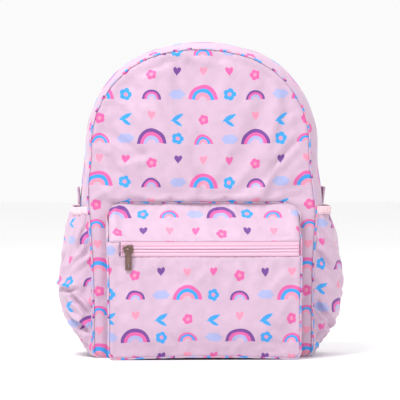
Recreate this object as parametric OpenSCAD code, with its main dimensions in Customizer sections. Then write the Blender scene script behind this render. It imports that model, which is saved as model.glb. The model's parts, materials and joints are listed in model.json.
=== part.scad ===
// School backpack: a domed main compartment that a zipper opens round the top,
// a boxed front pocket with its own zipper, two elasticated side pockets,
// a grab handle and two padded shoulder straps with sliding adjusters.
// Front is -Y, the wearer's side is +Y, and the base rests on z = 0.

/* [Main compartment] */
// Height from the base to the crest of the dome
pack_h = 366; // [350:1:380]
// Half of the width across the crest of the gusset
half_w = 135; // [130:1:140]
// Depth between the front panel's and the back panel's inner faces
body_d = 97; // [90:1:105]
// Thickness of one sewn layer, outer fabric with its lining
cloth_t = 1.2; // [1:0.1:1.5]
// Thickness of the front and back panels
panel_t = 1.5; // [1.2:0.1:2]
// Radius of the broad arc over the crest
top_r = 190; // [180:1:200]
// Radius of the two shoulder arcs
shoulder_r = 115; // [110:1:120]
// Radius of the lower corners
corner_r = 10; // [8:1:14]
// Thickness of the foam in the back panel
foam_t = 5; // [3:0.5:7]

/* [Main zipper] */
// Radius of the arc that the zipper follows over the top
zip_r = 134; // [132:1:135]
// Height of that arc's centre above the base
zip_cz = 225; // [222:1:226]
// Height of the zipper's two lower ends, where the front folds open
fold_z = 193; // [188:1:196]
// Furthest that the front folds open, in degrees
flap_max = 40; // [25:1:45]

/* [Zipper chain] */
// Width from the middle of the chain to the edge of the tape
tape_w = 9; // [8:0.5:10]
// Thickness of the tape
tape_t = 0.8; // [0.6:0.1:1]
// Width of one side's coil
coil_w = 2.4; // [2:0.1:2.6]
// Thickness of the coil
coil_t = 2.6; // [2.2:0.1:2.8]
// Half of the gap between the two coils, where a slider's post runs
coil_gap = 0.8; // [0.7:0.1:1]

/* [Front pocket] */
// Half of the pocket's width
pocket_hw = 111; // [105:1:115]
// Depth of the pocket in front of the front panel
pocket_d = 38; // [30:1:42]
// Height of the middle of the pocket's zipper
pocket_zip_z = 127.75; // [120:0.25:130]
// Height where the pocket's top meets the front panel
pocket_top_z = 178; // [172:1:182]
// Where the pocket's slider is parked, from the middle
pocket_slider_x = -88; // [-90:1:-86]
// Travel of the pocket's slider
pocket_slider_travel = 191; // [180:1:191]

/* [Side pockets] */
// How far the belly of a side pocket stands out from the side
side_bulge = 30.8; // [20:0.1:34]
// Height of a side pocket's mouth
side_mouth_z = 173; // [165:1:176]
// Share of the bulge that is left at the mouth, where the elastic draws it in
mouth_share = 0.46; // [0.4:0.01:0.6]
// Height of the elastic binding round the mouth
binding_h = 9; // [8:1:12]

/* [Straps and handle] */
// Width of a shoulder strap at its top
strap_w = 50; // [44:1:54]
// Thickness of a shoulder strap
strap_t = 8; // [6:0.5:10]
// How far the middle of a strap stands off the back
strap_bow = 34.4; // [25:0.1:36]
// Height of the seam that holds the straps' upper ends
strap_top_z = 330; // [325:1:332]
// Height of the straps' lower ends
strap_end_z = 122; // [118:1:130]
// Width of the webbing
webbing_w = 20; // [18:1:22]
// Thickness of the webbing
webbing_t = 1.6; // [1.4:0.1:2]
// Half of the distance between the handle's two ends
handle_hw = 33; // [30:1:36]
// Angle at which the handle stands away from the back
handle_lean = 38; // [34:1:44]
// Height of the seam that holds the handle
handle_z = 351; // [349:1:353]

/* [Hidden] */
$fn = 48;
gap = 0.1;
half_d = body_d / 2;
front_y = -half_d - panel_t;
back_y = half_d + panel_t;
edge_inset = 8;
binding_inset = edge_inset + 2.4;

// Centres of the arcs that make the outline
top_cz = pack_h - top_r;
shoulder_cx = half_w - shoulder_r;
shoulder_cz = top_cz + sqrt(pow(top_r - shoulder_r, 2) - pow(shoulder_cx, 2));

// Colours
print_pink = [0.90, 0.74, 0.86];
plain_pink = [0.93, 0.78, 0.84];
pale_pink = [0.96, 0.84, 0.89];
brass = [0.48, 0.38, 0.33];
foam_grey = [0.85, 0.85, 0.85];
board_grey = [0.35, 0.35, 0.37];

// ---------- Outline of the main compartment, as a distance from (0, zip_cz) ----------

// Distance along a ray to the far side of a circle, with the ray's angle from +Z
function ray_circle(a, cx, cz, r) =
    let (c = [cx, cz - zip_cz], b = c * [sin(a), cos(a)]) b + sqrt(b * b - c * c + r * r);

// Angle of the point where the top arc becomes a shoulder arc
function top_angle(inset) =
    let (way = [shoulder_cx, shoulder_cz - top_cz] / (top_r - shoulder_r))
    atan2(way[0] * (top_r - inset), top_cz + way[1] * (top_r - inset) - zip_cz);

// The outline, drawn in by inset at the sides and top and raised by lift at the base
function shell_r(angle, inset, lift = 0) =
    let (
        a = abs(angle) > 180 ? 360 - abs(angle) : abs(angle),
        rc = corner_r - lift,
        w = half_w - inset
    )
    a < top_angle(inset) ? ray_circle(a, 0, top_cz, top_r - inset) :
    a < atan2(w, shoulder_cz - zip_cz) ? ray_circle(a, shoulder_cx, shoulder_cz, shoulder_r - inset) :
    a < atan2(w, lift + rc - zip_cz) ? w / sin(a) :
    a < atan2(w - rc, lift - zip_cz) ? ray_circle(a, w - rc, lift + rc, rc) :
    (lift - zip_cz) / cos(a);

// The zipper's line: an arc over the top and straight sides below it
function arch_r(angle) = abs(angle) <= 90 ? zip_r : zip_r / max(sin(abs(angle)), 0.01);

// Angle of the point at a height on a straight side
function side_angle(z, w) = atan2(w, z - zip_cz);

function at(angle, r, y) = [r * sin(angle), y, zip_cz + r * cos(angle)];

// Points of the outline between two angles, as a 2D list
function outline(inset, lift, a0, a1, n = 60) =
    [for (i = [0 : n])
        let (a = a0 + (a1 - a0) * i / n, r = shell_r(a, inset, lift))
        [r * sin(a), zip_cz + r * cos(a)]];

// ---------- Helpers ----------

// A solid through rings of points, where the second half of each ring comes back beside the first
module skin(rings) {
    n = len(rings);
    m = len(rings[0]);
    sides = [for (i = [0 : n - 2], j = [0 : m - 1])
        let (a = i * m + j, b = i * m + (j + 1) % m) each [[a, b, b + m], [a, b + m, a + m]]];
    start = [for (j = [0 : m / 2 - 2]) each [[j + 1, j, m - 1 - j], [j + 1, m - 1 - j, m - 2 - j]]];
    end = [for (f = start) [for (k = [2 : -1 : 0]) (n - 1) * m + f[k]]];
    polyhedron(points = [for (ring = rings) each ring], faces = concat(sides, start, end), convexity = 8);
}

// A plate in the XZ plane between two depths
module plate(points, y0, y1) {
    translate([0, y1, 0]) rotate([90, 0, 0]) linear_extrude(y1 - y0) polygon(points);
}

// A box given by its lowest and highest corners
module block(low, high) {
    translate(low) cube(high - low);
}

// A copy on the other side of the middle plane
module side(s) {
    if (s < 0) mirror([1, 0, 0]) children();
    else children();
}

// A strip in the zipper's arch, between two depths and down to a height
module arch_strip(y0, y1, r_in, r_out, z0) {
    translate([0, y1, zip_cz]) rotate([90, 0, 0]) linear_extrude(y1 - y0) difference() {
        union() {
            circle(r_out, $fn = 96);
            translate([-r_out, z0 - zip_cz]) square([2 * r_out, zip_cz - z0]);
        }
        circle(r_in, $fn = 96);
        translate([-r_in, z0 - zip_cz - 1]) square([2 * r_in, zip_cz - z0 + 1]);
        translate([-zip_r - 10, -zip_cz]) square([2 * zip_r + 20, z0]);
    }
}

// ---------- Gusset: profiles across the depth, as [y, inset from the outline] ----------

front_profile = [[-half_d, edge_inset], [-44, 4], [-37, 1.5], [-24, 0]];
side_profile = concat(front_profile, [[24, 0.5], [37, 2], [44, 4.5], [half_d, edge_inset]]);
// At the rear, [y, rise above the zipper's line, inset from the outline], whichever is lower
rear_profile = [[tape_w, 0.6, -1.5], [24, 2, 0.5], [37, 2, 2], [44, 0.5, 4.5], [half_d, -3, edge_inset]];

function front_out(a, k) =
    k < len(front_profile) ? shell_r(a, front_profile[k][1]) : arch_r(a) + 0.6;
function front_in(a, k) =
    k < len(front_profile) ? shell_r(a, front_profile[k][1] + cloth_t) : arch_r(a) + 0.6 - cloth_t;
function front_station(k) = k < len(front_profile) ? front_profile[k][0] : -tape_w;

// Angle at which the part of the front that opens begins, further up towards the front
function flap_angle(y, lift) =
    side_angle(fold_z + lift - y * tan(flap_max + 2), half_w);

// One ring of the front gusset, with a share of the way between two edges at each station
function front_ring(share, from, to) =
    let (m = len(front_profile))
    concat(
        [for (k = [0 : m]) let (a = from[k] + (to[k] - from[k]) * share) at(a, front_out(a, k), front_station(k))],
        [for (k = [m : -1 : 0]) let (a = from[k] + (to[k] - from[k]) * share) at(a, front_in(a, k), front_station(k))]
    );

function edge_angles(lift, s) =
    [for (k = [0 : len(front_profile)]) s * flap_angle(front_station(k), lift)];

module gusset_front() {
    low = edge_angles(1.2, -1);
    high = edge_angles(1.2, 1);
    color(print_pink) skin([for (i = [0 : 32]) front_ring(i / 32, low, high)]);
}

// The part of the front that crumples as the flap opens: a band of the front panel and the
// two corners of the gusset beside it
module front_fold() {
    band_top = fold_z + half_d * tan(flap_max + 2);
    low_a = side_angle(fold_z + gap, half_w - edge_inset);
    high_a = side_angle(band_top, half_w - edge_inset);
    ends = [for (k = [0 : len(front_profile)]) side_angle(fold_z, half_w) - 0.05];
    color(print_pink) {
        plate(concat(outline(edge_inset, 0, high_a, low_a, 6), outline(edge_inset, 0, -low_a, -high_a, 6)),
            front_y, -half_d - gap);
        for (s = [-1, 1]) side(s)
            skin([for (i = [0 : 4]) front_ring(i / 4, edge_angles(0, 1), ends)]);
    }
}

function rear_out(a, p) = min(arch_r(a) + p[1], shell_r(a, p[2]));

module gusset_rear() {
    n = len(rear_profile);
    end = side_angle(fold_z, half_w);
    function ring(a) = concat(
        [for (p = rear_profile) at(a, rear_out(a, p), p[0])],
        [for (k = [n - 1 : -1 : 0]) at(a, rear_out(a, rear_profile[k]) - cloth_t, rear_profile[k][0])]
    );
    color(print_pink) skin([for (i = [0 : 36]) ring(-end + 2 * end * i / 36)]);
}

// Where the side panels end and the base panel begins
base_hw = half_w - corner_r - edge_inset - 2;

module side_panel(s) {
    n = len(side_profile);
    a0 = side_angle(fold_z, half_w) + 0.05;
    a1 = side_angle(corner_r, half_w);
    a2 = side_angle(0, half_w - corner_r - edge_inset);
    function ring(a) = concat(
        [for (p = side_profile) at(a, shell_r(a, p[1]), p[0])],
        [for (k = [n - 1 : -1 : 0])
            at(a, shell_r(a, side_profile[k][1] + cloth_t, cloth_t), side_profile[k][0])]
    );
    angles = concat([for (i = [0 : 3]) a0 + (a1 - a0) * i / 4], [for (i = [0 : 8]) a1 + (a2 - a1) * i / 8],
        [side_angle(0, base_hw)]);
    color(print_pink) side(s) skin([for (a = angles) ring(a)]);
}

// ---------- Panels, foam, lining and base ----------

module front_panel() {
    a = side_angle(fold_z, half_w - edge_inset);
    color(print_pink) plate(outline(edge_inset, 0, a, 360 - a, 72), front_y, -half_d);
}

module flap_panel() {
    z0 = fold_z + 1.2 + half_d * tan(flap_max + 2);
    a = side_angle(z0, half_w - edge_inset);
    color(print_pink) plate(outline(edge_inset, 0, -a, a, 48), front_y, -half_d);
}

// The back panel's outline follows the zipper's arch over the top and the body's outline below it
function back_outline(inset, lift, n = 72) =
    [for (i = [0 : n - 1])
        let (a = 360 * i / n, b = a > 180 ? 360 - a : a, r = min(arch_r(b) + 5 - inset, shell_r(b, inset, lift)))
        [r * sin(a), zip_cz + r * cos(a)]];

module back_panel() {
    color(print_pink) plate(back_outline(edge_inset, 0), half_d, back_y);
}

module back_foam() {
    color(foam_grey) plate(back_outline(edge_inset + 5, 8), half_d - foam_t, half_d - gap);
}

module back_lining() {
    y1 = half_d - foam_t - gap;
    color(pale_pink) plate(back_outline(edge_inset + 5, 8), y1 - 1, y1);
}

sleeve_hw = 95;
sleeve_z0 = 14;
sleeve_z1 = 185;
sleeve_y1 = half_d - foam_t - 1 - 2 * gap;
sleeve_y0 = sleeve_y1 - 9;

module inner_sleeve() {
    color(pale_pink) difference() {
        block([-sleeve_hw, sleeve_y0, sleeve_z0], [sleeve_hw, sleeve_y1, sleeve_z1]);
        block([-sleeve_hw + 1, sleeve_y0 + 1, sleeve_z0 + 1], [sleeve_hw - 1, sleeve_y1 + 1, sleeve_z1 + 1]);
    }
}

module sleeve_elastic() {
    color(plain_pink)
        block([-sleeve_hw, sleeve_y0 - 1.1, sleeve_z1 - 12], [sleeve_hw, sleeve_y0 - gap, sleeve_z1]);
}

module base_panel() {
    w = base_hw - 2 * gap - cloth_t;
    color(print_pink) block([-w, -half_d, 0], [w, half_d, cloth_t]);
}

board_hw = 106;

module base_board() {
    color(board_grey) block([-board_hw, -39, cloth_t + gap], [board_hw, 39, cloth_t + 2]);
}

// Binding tape sewn over the seam allowances inside, a closed ring at the back
module seam_binding_back() {
    color(plain_pink) difference() {
        plate(back_outline(binding_inset, 2), half_d - 8, half_d - gap);
        plate(back_outline(binding_inset + 1.6, 3.6), half_d - 9, half_d);
    }
}

// The same tape at the front, in the part that stands and in the part that opens
module front_binding(z0, z1) {
    color(plain_pink) intersection() {
        difference() {
            plate(outline(binding_inset, 2, 0, 360, 72), -half_d + gap, -half_d + 8);
            plate(outline(binding_inset + 1.6, 3.6, 0, 360, 72), -half_d, -half_d + 9);
        }
        block([-half_w, -half_d - 1, z0], [half_w, -half_d + 10, z1]);
    }
}

module seam_binding_front() { front_binding(0, fold_z); }

module seam_binding_flap() { front_binding(fold_z + 3 + half_d * tan(flap_max + 2), pack_h); }

// ---------- Main zipper ----------

module zip_tape_rear() {
    color(plain_pink) arch_strip(coil_gap + coil_w + gap, tape_w - gap,
        zip_r - tape_t / 2, zip_r + tape_t / 2, fold_z + 0.6);
}

module zip_coil_rear() {
    color(plain_pink) arch_strip(coil_gap, coil_gap + coil_w,
        zip_r - coil_t / 2, zip_r + coil_t / 2, fold_z + 0.6);
}

flap_tape_z = fold_z + 1 + tape_w * tan(flap_max + 2);

module zip_tape_front() {
    color(plain_pink) arch_strip(-tape_w + gap, -coil_gap - coil_w - gap,
        zip_r - tape_t / 2, zip_r + tape_t / 2, flap_tape_z);
}

module zip_coil_front() {
    color(plain_pink) arch_strip(-coil_gap - coil_w, -coil_gap,
        zip_r - coil_t / 2, zip_r + coil_t / 2, flap_tape_z);
}

// Folded tab of fabric sewn over a lower end of the zipper
module zip_end_tab(s) {
    color(print_pink) side(s) block([half_w + gap, -12, fold_z - 16], [half_w + 4.6, 12, fold_z - 0.5]);
}

// ---------- Slider and pull, in their own frame: +X along the chain, +Z out of the bag ----------

slider_l = 11;
slider_w = 9;
slider_in = coil_t / 2 + 0.4;
plate_t = 1.2;
plate_top = slider_in + plate_t;
pin_r = 0.8;
knuckle_r = 1.7;
bridge_z = plate_top + knuckle_r + 0.3;
pull_l = 24;
pull_w = 6.5;
pull_t = 1.5;

// Two plates with a post between the coils, and two ears that carry the pull's pin
module slider() {
    color(brass) {
        for (z = [-plate_top, slider_in])
            translate([-slider_l / 2, -slider_w / 2, z]) cube([slider_l, slider_w, plate_t]);
        translate([-slider_l / 2, -0.5, -slider_in - gap]) cube([4, 1, 2 * slider_in + 2 * gap]);
        for (x = [-3.8, 2.6])
            translate([x, -1.1, plate_top - gap]) cube([1.2, 2.2, bridge_z + 1.1 - plate_top + gap]);
        translate([-3.8, 0, bridge_z]) rotate([0, 90, 0]) cylinder(r = pin_r, h = 7.6);
    }
}

// The pull's knuckle turns on the slider's pin, and its tab points to +Y
module pull() {
    color(brass) translate([0, 0, bridge_z]) difference() {
        union() {
            rotate([0, 90, 0]) cylinder(r = knuckle_r, h = 4.4, center = true);
            translate([-2.2, 0, -pull_t / 2]) cube([4.4, 3.5, pull_t]);
            translate([-pull_w / 2, 3, -pull_t / 2]) cube([pull_w, pull_l - 3, pull_t]);
        }
        rotate([0, 90, 0]) cylinder(r = pin_r + 0.08, h = 8, center = true);
        translate([-1, pull_l - 6, -1]) cube([2, 3, 2]);
    }
}

// Places a thing on the main zipper's arc
module on_arc(angle) {
    translate([0, 0, zip_cz]) rotate([0, angle, 0]) translate([0, 0, zip_r]) children();
}

main_slider_angle = 4.5;

module main_slider(s) { side(s) on_arc(main_slider_angle) slider(); }

module main_pull(s) { side(s) on_arc(main_slider_angle) pull(); }

module on_pocket_zip() {
    translate([pocket_slider_x, pocket_tape_y, pocket_zip_z]) rotate([90, 0, 0]) children();
}

module pocket_slider() { on_pocket_zip() slider(); }

module pocket_pull() { on_pocket_zip() mirror([0, 1, 0]) pull(); }

// ---------- Front pocket ----------

pocket_y = front_y - pocket_d;
pocket_tape_y = pocket_y + 0.6;
pocket_lip_z = pocket_zip_z + tape_w + 0.25;
lid_rise = pocket_top_z - pocket_lip_z;
lid_run = pocket_d - 1.5;
lid_z = pocket_top_z + 1.3;
zip_x0 = pocket_slider_x - 9;
zip_x1 = pocket_slider_x + pocket_slider_travel + 6.4;
lid_x0 = pocket_slider_x + slider_l / 2 + 1.5;
lid_x1 = pocket_slider_x + pocket_slider_travel - slider_l / 2 - 1.5;

module pocket_panel() {
    color(print_pink)
        block([-pocket_hw, pocket_y, 0], [pocket_hw, pocket_y + cloth_t, pocket_zip_z - tape_w]);
}

// Sides and base of the pocket in one strip
module pocket_gusset() {
    profile = [
        [front_y - gap, 0], [pocket_y + cloth_t + gap, 0], [pocket_y + cloth_t + gap, pocket_lip_z - 0.6],
        [front_y - 1.6, pocket_top_z - 1.2], [front_y - gap, pocket_top_z - 1.2]
    ];
    color(print_pink) {
        for (s = [-1, 1]) side(s)
            translate([pocket_hw - cloth_t, 0, 0]) rotate([90, 0, 90]) linear_extrude(cloth_t) polygon(profile);
        block([-pocket_hw + cloth_t, pocket_y + cloth_t + gap, 0], [pocket_hw - cloth_t, front_y - gap, cloth_t]);
    }
}

// Sloping top of the pocket, which lifts like a lid when the zipper is open
module pocket_top() {
    y0 = front_y - 1.3;
    profile = [
        [y0, lid_z], [y0 - lid_run, lid_z - lid_rise], [pocket_y, pocket_lip_z],
        [pocket_y + 1.3, pocket_lip_z], [y0 - 0.2, lid_z - 1.7]
    ];
    color(print_pink) translate([-pocket_hw, 0, 0]) rotate([90, 0, 90]) linear_extrude(2 * pocket_hw) polygon(profile);
}

module pocket_zip_tape_lower() {
    color(plain_pink) block([zip_x0, pocket_tape_y - tape_t / 2, pocket_zip_z - tape_w + gap],
        [zip_x1, pocket_tape_y + tape_t / 2, pocket_zip_z - coil_gap - coil_w - gap]);
}

module pocket_zip_coil_lower() {
    color(plain_pink) block([zip_x0, pocket_tape_y - coil_t / 2, pocket_zip_z - coil_gap - coil_w],
        [zip_x1, pocket_tape_y + coil_t / 2, pocket_zip_z - coil_gap]);
}

// The upper half stops short of the two places where the slider parks
module pocket_zip_tape_upper() {
    color(plain_pink) {
        block([lid_x0, pocket_tape_y - tape_t / 2, pocket_zip_z + coil_gap + coil_w + gap],
            [lid_x1, pocket_tape_y + tape_t / 2, pocket_zip_z + slider_w / 2 + 1.5]);
        block([zip_x0, pocket_tape_y - tape_t / 2, pocket_zip_z + slider_w / 2 + 1.5],
            [zip_x1, pocket_tape_y + tape_t / 2, pocket_lip_z - gap]);
    }
}

module pocket_zip_coil_upper() {
    color(plain_pink) block([lid_x0, pocket_tape_y - coil_t / 2, pocket_zip_z + coil_gap],
        [lid_x1, pocket_tape_y + coil_t / 2, pocket_zip_z + coil_gap + coil_w]);
}

module pocket_zip_stops() {
    color(plain_pink) for (x = [zip_x0 - 1.5, zip_x1 + gap])
        block([x, pocket_tape_y - 1.2, pocket_zip_z - 4], [x + 1.4, pocket_tape_y + 0.5, pocket_zip_z + 4]);
}

// ---------- Side pockets ----------

// How far the pocket stands out at points up its height, as [z, share of the bulge]
side_points = [[10, 0.045], [20, 0.2], [28, 0.39], [36, 0.57], [44, 0.75], [54, 0.88], [66, 0.96],
    [80, 1], [100, 0.96], [125, 0.89], [148, 0.74], [side_mouth_z, mouth_share]];

// Half width of the side panel at a depth and a height
function panel_x(y, z) =
    let (w = half_w - lookup(y, side_profile), up = max(0, corner_r - z))
    w - corner_r + sqrt(corner_r * corner_r - up * up);

// A section at one height: an arch from the front seam to the back seam
function pouch(z, bulge, depth) =
    [for (i = [0 : 12])
        let (a = 180 * i / 12, y = -depth * cos(a))
        [panel_x(y, z) + 2 * gap + bulge * pow(sin(a), 0.62), y, z]];

function pouch_ring(z, bulge, depth, t) =
    let (outer = pouch(z, bulge, depth), inner = pouch(z, bulge - t, depth - t), n = len(outer))
    concat(outer, [for (k = [n - 1 : -1 : 0]) inner[k]]);

module side_pocket(s) {
    color(print_pink) side(s)
        skin([for (p = side_points) pouch_ring(p[0], side_bulge * p[1], half_d - 1, cloth_t)]);
}

// The binding stands just outside the cloth that it holds
module side_binding(s) {
    color(pale_pink) side(s) skin([for (z = [side_mouth_z - binding_h + 2, side_mouth_z + 2])
        let (bulge = side_bulge * lookup(z, side_points) + 1.3)
        pouch_ring(z, bulge, half_d + 0.3, 1)]);
}

// ---------- Back: yoke, handle, straps, webbing and adjusters ----------

module back_yoke() {
    a = 34;
    top = [for (i = [0 : 16]) let (b = -a + 2 * a * i / 16) [(zip_r - 8) * sin(b), zip_cz + (zip_r - 8) * cos(b)]];
    color(print_pink) plate(concat(top, [[82, strap_top_z - 10], [-82, strap_top_z - 10]]),
        back_y + gap, back_y + 1.5);
}

strap_y0 = back_y + 1.5 + gap;

function strap_x(t) = 48 + 36 * sin(90 * t) + 8 * t;
function strap_off(t) = strap_bow * pow(sin(180 * t), 1.5);
function strap_half(t) = strap_w / 2 - (strap_w / 2 - 13) * pow(t, 2.2);
function strap_at(t) = [strap_x(t), strap_y0 + strap_off(t), strap_top_z + (strap_end_z - strap_top_z) * t];
function unit(v) = v / norm(v);

// A ring of a layer of the strap: across from w0 to w1 half widths, and from h0 to h1 off its inner face
function strap_ring(t, w0, w1, h0, h1) =
    let (
        t0 = max(0, t - 0.01), t1 = min(1, t + 0.01),
        along = unit(strap_at(t1) - strap_at(t0)),
        across = unit(cross([0, 1, 0], along)) * -1,
        out = cross(along, across) * -1,
        p = strap_at(t)
    )
    [p + across * w0 + out * h0, p + across * w1 + out * h0, p + across * w1 + out * h1, p + across * w0 + out * h1];

module strap_layer(s, h0, h1) {
    side(s) skin([for (i = [0 : 20]) let (t = i / 20, w = strap_half(t)) strap_ring(t, -w, w, h0, h1)]);
}

module strap_cover(s) { color(print_pink) strap_layer(s, strap_t - 1, strap_t); }

module strap_foam(s) { color(foam_grey) strap_layer(s, 1 + gap, strap_t - 1 - gap); }

module strap_mesh(s) { color(pale_pink) strap_layer(s, 0, 1); }

module strap_binding(s) {
    color(plain_pink) for (e = [-1, 1]) side(s)
        skin([for (i = [0 : 20])
            let (t = i / 20, w = strap_half(t), a = w + gap, b = w + 1.2)
            strap_ring(t, e > 0 ? a : -b, e > 0 ? b : -a, 0, strap_t)]);
}

adjuster_h = 24;
adjuster_z = strap_end_z - 3 - adjuster_h / 2;
adjuster_y = strap_y0 + strap_t / 2;

module adjuster(s) {
    color(plain_pink) side(s) translate([strap_x(1), adjuster_y, adjuster_z]) difference() {
        cube([28, 4, adjuster_h], center = true);
        for (z = [-6, 6]) translate([0, 0, z]) cube([21, 6, 7], center = true);
    }
}

// A straight run of webbing between two points of its middle line, with level ends
module webbing_run(p, q) {
    function end(c) = [for (k = [[-1, -1], [1, -1], [1, 1], [-1, 1]])
        c + [k[0] * webbing_w / 2, k[1] * webbing_t / 2, 0]];
    skin([end(p), end(q)]);
}

anchor_tip = [103, back_y + 3.8, 56];

module webbing(s) {
    color(plain_pink) side(s)
        webbing_run(anchor_tip, [strap_x(1), adjuster_y, adjuster_z - adjuster_h / 2 - 0.8]);
}

module webbing_tail(s) {
    z1 = adjuster_z - adjuster_h / 2 - 0.5;
    color(plain_pink) side(s)
        block([strap_x(1) - webbing_w / 2, adjuster_y + 1.8, 36], [strap_x(1) + webbing_w / 2, adjuster_y + 1.8 + webbing_t, z1]);
}

// Triangle of folded fabric that holds the lower end of the webbing in the side seam
module strap_anchor(s) {
    color(print_pink) side(s)
        plate([[125, 12], [125, 62], [110, 66], [92, 54]], back_y + gap, back_y + 2.6);
}

handle_drop = 42;

// U of doubled webbing whose two ends turn together on the line of the seam
module handle_loop() {
    bend = 13;
    color(plain_pink) translate([0, back_y + 1.9, handle_z]) rotate([handle_lean, 0, 0])
        rotate([90, 0, 0]) linear_extrude(2.4, center = true) difference() {
            union() {
                for (s = [-1, 1]) translate([s * (handle_hw - bend), -handle_drop + bend]) circle(bend + 9);
                translate([-handle_hw + bend, -handle_drop - 9]) square([2 * (handle_hw - bend), 22]);
                for (s = [-1, 1]) translate([s * handle_hw - 9, -handle_drop + bend]) square([18, handle_drop - bend]);
            }
            for (s = [-1, 1]) translate([s * (handle_hw - bend - 2), -handle_drop + bend + 2]) circle(bend - 7);
            translate([-handle_hw + 9, -handle_drop + bend + 2]) square([2 * handle_hw - 18, handle_drop]);
            translate([-handle_hw + bend + 2, -handle_drop + 9]) square([2 * (handle_hw - bend - 2), 14]);
        }
}

// ---------- Nodes ----------

back_panel();
back_foam();
back_lining();
inner_sleeve();
sleeve_elastic();
base_panel();
base_board();
gusset_rear();
side_panel(-1);  // side_panel_left
side_panel(1);  // side_panel_right
front_panel();
front_fold();
zip_tape_rear();
zip_coil_rear();
zip_end_tab(-1);  // zip_end_tab_left
zip_end_tab(1);  // zip_end_tab_right
pocket_panel();
pocket_gusset();
pocket_zip_tape_lower();
pocket_zip_coil_lower();
side_pocket(-1);  // side_pocket_left
side_pocket(1);  // side_pocket_right
side_binding(-1);  // side_binding_left
side_binding(1);  // side_binding_right
strap_anchor(-1);  // strap_anchor_left
strap_anchor(1);  // strap_anchor_right
webbing(-1);  // webbing_left
webbing(1);  // webbing_right
back_yoke();
seam_binding_back();
seam_binding_front();
pocket_zip_stops();
flap_panel();
gusset_front();
zip_tape_front();
zip_coil_front();
seam_binding_flap();
pocket_top();
pocket_zip_tape_upper();
pocket_zip_coil_upper();
main_slider(-1);  // main_slider_left
main_slider(1);  // main_slider_right
main_pull(-1);  // main_pull_left
main_pull(1);  // main_pull_right
pocket_slider();
pocket_pull();
handle_loop();
strap_cover(-1);  // strap_cover_left
strap_foam(-1);  // strap_foam_left
strap_mesh(-1);  // strap_mesh_left
strap_binding(-1);  // strap_binding_left
adjuster(-1);  // adjuster_left
webbing_tail(-1);  // webbing_tail_left
strap_cover(1);  // strap_cover_right
strap_foam(1);  // strap_foam_right
strap_mesh(1);  // strap_mesh_right
strap_binding(1);  // strap_binding_right
adjuster(1);  // adjuster_right
webbing_tail(1);  // webbing_tail_right
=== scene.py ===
"""The looks of a child's school backpack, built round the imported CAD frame.

Lengths in this file are millimetres until a mesh is made. Front is -Y and +X is the right of the
front view. Every shape starts from the CAD boxes and joints, and cloth carries a UV map called
"cloth" in millimetres of flat fabric, which the print is drawn on.
"""

import json
import math

import bmesh
import bpy
import numpy as np
from mathutils import Matrix, Vector
from mathutils.geometry import delaunay_2d_cdt


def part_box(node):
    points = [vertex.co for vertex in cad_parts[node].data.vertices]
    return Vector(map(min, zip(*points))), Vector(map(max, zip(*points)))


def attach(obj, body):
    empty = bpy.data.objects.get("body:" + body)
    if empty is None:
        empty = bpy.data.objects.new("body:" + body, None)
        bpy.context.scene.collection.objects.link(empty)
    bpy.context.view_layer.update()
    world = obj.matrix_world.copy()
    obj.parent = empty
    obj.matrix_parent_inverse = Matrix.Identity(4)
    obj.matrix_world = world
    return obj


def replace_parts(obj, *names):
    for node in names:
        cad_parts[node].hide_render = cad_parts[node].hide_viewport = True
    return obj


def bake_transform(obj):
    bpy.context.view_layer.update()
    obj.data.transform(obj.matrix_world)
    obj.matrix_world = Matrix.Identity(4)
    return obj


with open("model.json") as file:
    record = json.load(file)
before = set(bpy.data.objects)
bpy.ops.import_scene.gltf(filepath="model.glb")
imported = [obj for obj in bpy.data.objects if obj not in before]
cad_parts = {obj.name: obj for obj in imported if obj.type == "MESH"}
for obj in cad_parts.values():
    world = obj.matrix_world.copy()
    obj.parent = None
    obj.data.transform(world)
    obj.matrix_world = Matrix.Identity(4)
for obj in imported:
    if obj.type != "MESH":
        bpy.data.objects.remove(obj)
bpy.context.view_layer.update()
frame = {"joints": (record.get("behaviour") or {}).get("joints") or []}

MM = 0.001
CLOTH_T = 0.9  # a printed panel with its lining
CLOTH_STIFFNESS = 14
FLOOR_GAP = 0.15  # no piece comes nearer to the floor
STAGE_X = 500  # the object lies well inside this, and the floor's corners outside it
INSIDE = (0, 0, 180)  # a point inside the bag
JOINTS = {joint["name"]: joint for joint in frame["joints"]}


def low(node):
    return np.array(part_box(node)[0]) / MM


def high(node):
    return np.array(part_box(node)[1]) / MM


def pivot(joint):
    return np.array(JOINTS[joint]["pos_m"]) / MM


# ---------- Driving sizes, from the frame ----------

HALF_W = high("side_panel_right")[0]
PACK_H = high("gusset_front")[2]
FRONT_Y = low("front_panel")[1]
BACK_Y = high("back_panel")[1]
HALF_D = high("front_panel")[1] * -1
POCKET_HW = high("pocket_panel")[0]
POCKET_Y = low("pocket_panel")[1]
ZIP_LOW_Z = high("pocket_panel")[2]
LIP_Z = low("pocket_top")[2]
LID_TOP_Z = high("pocket_top")[2]
LID_TOP_Y = high("pocket_top")[1]
ZIP_Z = pivot("pocket_pull_swing")[2]
ZIP_TAPE_Y = (low("pocket_zip_tape_lower")[1] + high("pocket_zip_tape_lower")[1]) / 2
FOLD_Z = pivot("front_opening")[2]
ARC_Z = pivot("zip_slide_right")[2]
ZIP_R = (high("zip_coil_rear")[2] - ARC_Z) - 1.3
MOUTH_Z = high("side_pocket_right")[2]
BULGE = high("side_pocket_right")[0] - HALF_W
STRAP_TOP_Z = low("back_yoke")[2] + 10
STRAP_END_Z = 122
ADJUSTER = (low("adjuster_right") + high("adjuster_right")) / 2

# The outline's arcs, as in the CAD source
TOP_R = 190
SHOULDER_R = 115
CORNER_R = 10
EDGE = 8
TOP_CZ = PACK_H - TOP_R
SHOULDER_CX = HALF_W - SHOULDER_R
SHOULDER_CZ = TOP_CZ + math.sqrt((TOP_R - SHOULDER_R) ** 2 - SHOULDER_CX ** 2)


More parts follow.
